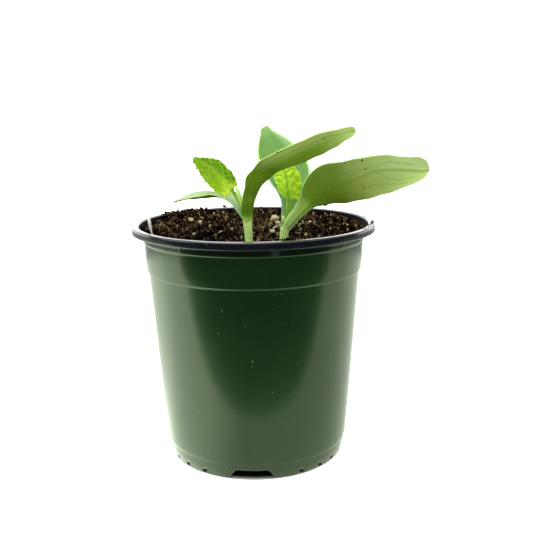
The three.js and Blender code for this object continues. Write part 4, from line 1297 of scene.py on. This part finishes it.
# soil specks splashed on the undersides by watering: leaf, share along, share across, size
SPECKS = [
    ("right_cotyledon_right", 0.574, 0.89, 1.0), ("right_cotyledon_right", 0.652, 0.81, 1.2),
    ("right_cotyledon_right", 0.662, 0.44, 1.1), ("right_cotyledon_right", 0.609, 0.86, 0.6),
    ("right_cotyledon_right", 0.609, 0.7, 0.5), ("right_cotyledon_right", 0.637, 0.58, 0.6),
    ("right_cotyledon_right", 0.657, 0.14, 0.5), ("right_cotyledon_right", 0.677, 0.15, 0.5),
    ("right_cotyledon_right", 0.639, -0.1, 0.8), ("right_cotyledon_right", 0.647, -0.19, 0.9),
    ("right_cotyledon_right", 0.351, -0.89, 1.7), ("right_cotyledon_right", 0.37, -0.9, 1.2),
    ("right_cotyledon_right", 0.416, -0.79, 0.7), ("right_cotyledon_right", 0.466, -0.8, 0.6),
    ("right_cotyledon_right", 0.466, -0.46, 0.5), ("left_cotyledon_right", 0.744, 0.44, 1.3),
    ("left_cotyledon_right", 0.75, 0.5, 0.8), ("left_cotyledon_right", 0.529, 0.9, 1.3),
    ("left_cotyledon_right", 0.54, 0.86, 0.8), ("left_cotyledon_right", 0.43, 0.72, 0.8),
]
on_leaf = []
for node, s, v, size in SPECKS:
    grid = undersides[node]
    evenly = 1 - 2 * COTYLEDONS[node].get("tip", TIP)
    spot = grid[round(s * (grid.shape[0] - TIP_RINGS) / evenly), round((v + 1) / 2 * (grid.shape[1] - 1))]
    on_leaf.append((tuple(spot), size, (1.1, 0.8, 0.6)))
crumb_piece("soil_specks", on_leaf, dark_crumb)

# ---------------------------------------------------------------------------------------------
# True leaves and shoot buds. The first true leaf of each seedling, lime green, puckered between its
# sunken veins and finely toothed, on a thin stalk; beside it the next leaves, still a tight bud.
# ---------------------------------------------------------------------------------------------
lime_top = leaf_skin(
    "lime_true_leaf_top",
    [(0.0, "#557d10"), (0.42, "#5c8614"), (0.47, "#b4c83a"), (0.53, "#a6be2a"), (0.62, "#7a9c08"),
     (0.8, "#648800"), (1.0, "#5e8200")],
    tint="#547a02", tint_from=0.0, tint_to=0.6, vein_tint="#7ea430", margin_highlight="#88ac14", vein_share=0.6,
    rough=0.42, tint_along=(0.45, 0.55), net_share=0.4, specular=0.05,
)
lime_under = leaf_skin(
    "lime_true_leaf_underside", [(0.0, "#557d10"), (0.45, "#7fa824"), (1.0, "#88a834")],
    tint="#94b048", tint_from=0.2, tint_to=1.0, vein_tint="#a5bf5c", margin_highlight="#a9c44c", rough=0.5,
)
# its dark vein tint is painted shade in the creases along the sunken veins
yellow_top = leaf_skin(
    "yellow_green_true_leaf_top",
    [(0.0, "#74a428"), (0.36, "#70a220"), (0.5, "#a6ca30"), (0.75, "#b4d834"), (1.0, "#bee040")],
    tint="#a8c81c", tint_from=-0.2, tint_to=0.9, vein_tint="#5f9010", margin_highlight="#c4dc54", vein_share=0.8,
    rough=0.36, net_share=0.45, specular=0.15,
)
TRUE_LEAVES = {
    "left_true_leaf": dict(
        mid=[(-4.7, -44.8, 168.6), (-8.2, -44.4, 178.5), (-12.4, -43.6, 185.5), (-19, -44.6, 192.5),
             (-28.5, -47, 200.4), (-36.4, -48.6, 207)],
        low=[(0, 1.25), (0.455, 1.2), (0.475, 4.6), (0.5, 7.6), (0.55, 9.6), (0.6, 10.4), (0.65, 11.2),
             (0.7, 11.3), (0.75, 10.5), (0.8, 8.8), (0.85, 6.9), (0.9, 5.0), (0.95, 3.2), (1, 1)],
        high=[(0, 1.25), (0.41, 1.2), (0.43, 2.2), (0.46, 4.6), (0.5, 7.4), (0.55, 9.4), (0.6, 10.8),
              (0.65, 11.9), (0.7, 12.2), (0.75, 11.6), (0.8, 9.7), (0.85, 7.6), (0.9, 5.5), (0.95, 3.3),
              (1, 1)],
        turn=[0, 0, 0, 2, 3, 2], cup=([0.1], [0.1]), faces_to=(0.1, -0.6, 0.8), root=LEFT_ROOT,
        stalk_thick=2.2, blade_thick=0.9,
        main_veins=[[(0.3, 0), (0.471, -0.05), (0.571, 0.05), (0.667, 0.16), (0.744, 0.28), (0.86, 0.34),
                     (0.99, 0.2)]],
        side_veins=[[(0.471, -0.11), (0.551, -0.36), (0.632, -0.49), (0.697, -0.72), (0.73, -0.95)],
                    [(0.604, 0.09), (0.669, -0.09), (0.734, -0.32), (0.787, -0.72), (0.81, -0.95)],
                    [(0.692, 0.23), (0.759, 0.05), (0.827, -0.35), (0.862, -0.75), (0.88, -0.95)],
                    [(0.471, -0.05), (0.524, 0.35), (0.571, 0.69), (0.622, 0.84), (0.66, 0.95)],
                    [(0.632, 0.1), (0.647, 0.49), (0.684, 0.76), (0.722, 0.9)],
                    [(0.47, -0.1), (0.51, -0.5), (0.57, -0.8), (0.62, -0.95)],
                    [(0.744, 0.28), (0.78, 0.6), (0.82, 0.9)], [(0.8, 0.3), (0.88, -0.1), (0.93, -0.6)]],
        materials=[lime_top, lime_under], main_depth=0.4, side_depth=0.32, side_width=0.5, crinkle=0.5,
        crinkle_length=2.4, tooth=(2.3, 0.2), tooth_every=3.7, ruffle=0.5, sweep=(2.6, 3.2),
        blade_from=0.44, smoothing=0.012, steps=230, across=72, seed=21,
    ),
    "right_true_leaf": dict(
        mid=[(20.6, -28.8, 160.4), (22.2, -29.1, 172), (22.6, -28.9, 180), (23, -28.2, 187),
             (21.4, -26.6, 194.5), (19.4, -25, 203)],
        low=[(0, 1.25), (0.43, 1.25), (0.45, 3.0), (0.48, 5.2), (0.52, 7.0), (0.55, 8.1), (0.6, 8.5),
             (0.65, 8.8), (0.7, 9.4), (0.75, 9.7), (0.8, 9.6), (0.85, 8.6), (0.9, 6.7), (0.95, 3.9), (1, 2)],
        high=[(0, 1.25), (0.35, 1.25), (0.37, 3.2), (0.4, 5.4), (0.45, 6.4), (0.5, 6.8), (0.55, 7.3),
              (0.6, 7.7), (0.65, 8.1), (0.7, 8.2), (0.75, 8.1), (0.8, 8.0), (0.85, 6.9), (0.9, 5.7),
              (0.95, 4.4), (1, 2)],
        turn=[0, 0, 0, 0, 2, 0], cup=([0.25], [0.25]), faces_to=(0.3, -0.8, 0.5), root=RIGHT_ROOT,
        stalk_thick=2.3, blade_thick=0.9,
        main_veins=[[(0.3, 0), (0.45, -0.1), (0.6, -0.15), (0.7, -0.09), (0.8, -0.06), (0.877, -0.15),
                     (1, 0)]],
        side_veins=[[(0.511, -0.05), (0.594, 0.28), (0.664, 0.61), (0.7, 0.9)],
                    [(0.652, -0.07), (0.739, 0.29), (0.822, 0.74)],
                    [(0.4, 0), (0.436, 0.21), (0.491, 0.51), (0.556, 0.79), (0.58, 0.95)],
                    [(0.52, -0.2), (0.586, -0.32), (0.669, -0.6), (0.754, -0.89)],
                    [(0.7, -0.09), (0.732, -0.2), (0.805, -0.46), (0.835, -0.94)],
                    [(0.45, -0.2), (0.5, -0.55), (0.57, -0.9)], [(0.8, -0.06), (0.87, 0.3), (0.92, 0.7)]],
        materials=[yellow_top, lime_under], main_depth=0.45, side_depth=0.4, side_width=0.5, crinkle=1.0,
        crinkle_length=2.8, tooth=(0.7, 0.7), tooth_every=3.2, ruffle=0.4, sweep=(2.2, 2.2),
        blade_from=0.38, smoothing=0.012, steps=230, across=72, seed=22,
    ),
}
for node, shape in TRUE_LEAVES.items():
    piece = leaf_piece(node + "_blade", **shape)[0]
    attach(piece, "root")
    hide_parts(node)

LEFT_BUD = [
    (-6.6, -45.4, 171.4, 0.6), (-7.2, -45.3, 176.5, 0.9), (-8.4, -44.9, 182, 1.5),
    (-9.9, -44.5, 186.4, 1.3), (-11, -44.3, 188.4, 0.7),
]
RIGHT_BUD = [(19.2, -29.4, 162.6, 0.6), (19.2, -30.2, 165.4, 1.2), (19, -30.6, 168.4, 0.7)]

# Bud skin: pale green, yellower towards the tip, with fine folds.
bud_skin, tree, surface = finish_named(
    "folded_bud_skin", Roughness=0.5, Subsurface_Weight=0.35, Subsurface_Radius=(0.7, 1.0, 0.2),
    Subsurface_Scale=1.2 * MM,
)
along = add(tree, "ShaderNodeAttribute", attribute_name="along").outputs["Fac"]
place = add(tree, "ShaderNodeTexCoord").outputs["Object"]
folds = add(tree, "ShaderNodeTexNoise", {"Vector": place, "Scale": 0.9 * PER_MM, "Detail": 3.0})
mixed = add(tree, "ShaderNodeMath", {0: folds, 1: 0.5, 2: along}, operation="MULTIPLY_ADD")
yellower = add(
    tree, "ShaderNodeValToRGB", {"Fac": mixed}, stops=[(0.3, "#86b03c"), (0.8, "#b4cf68"), (1.0, "#bcd890")]
)
bud_bump = add(tree, "ShaderNodeBump", {"Height": folds, "Strength": 0.5, "Distance": 0.4 * MM})
wire(surface, {"Base Color": yellower, "Normal": bud_bump})
left_bud = stalk("left_folded_bud", LEFT_BUD, bud_skin, ribs=0.10, lumpiness=0.08, steps=70, sides=30)
right_bud = stalk("right_folded_bud", RIGHT_BUD, bud_skin, ribs=0.10, lumpiness=0.08, steps=50, sides=30)
for piece, node in ((left_bud, "left_shoot_bud"), (right_bud, "right_shoot_bud")):
    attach(piece, "root")
    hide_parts(node)
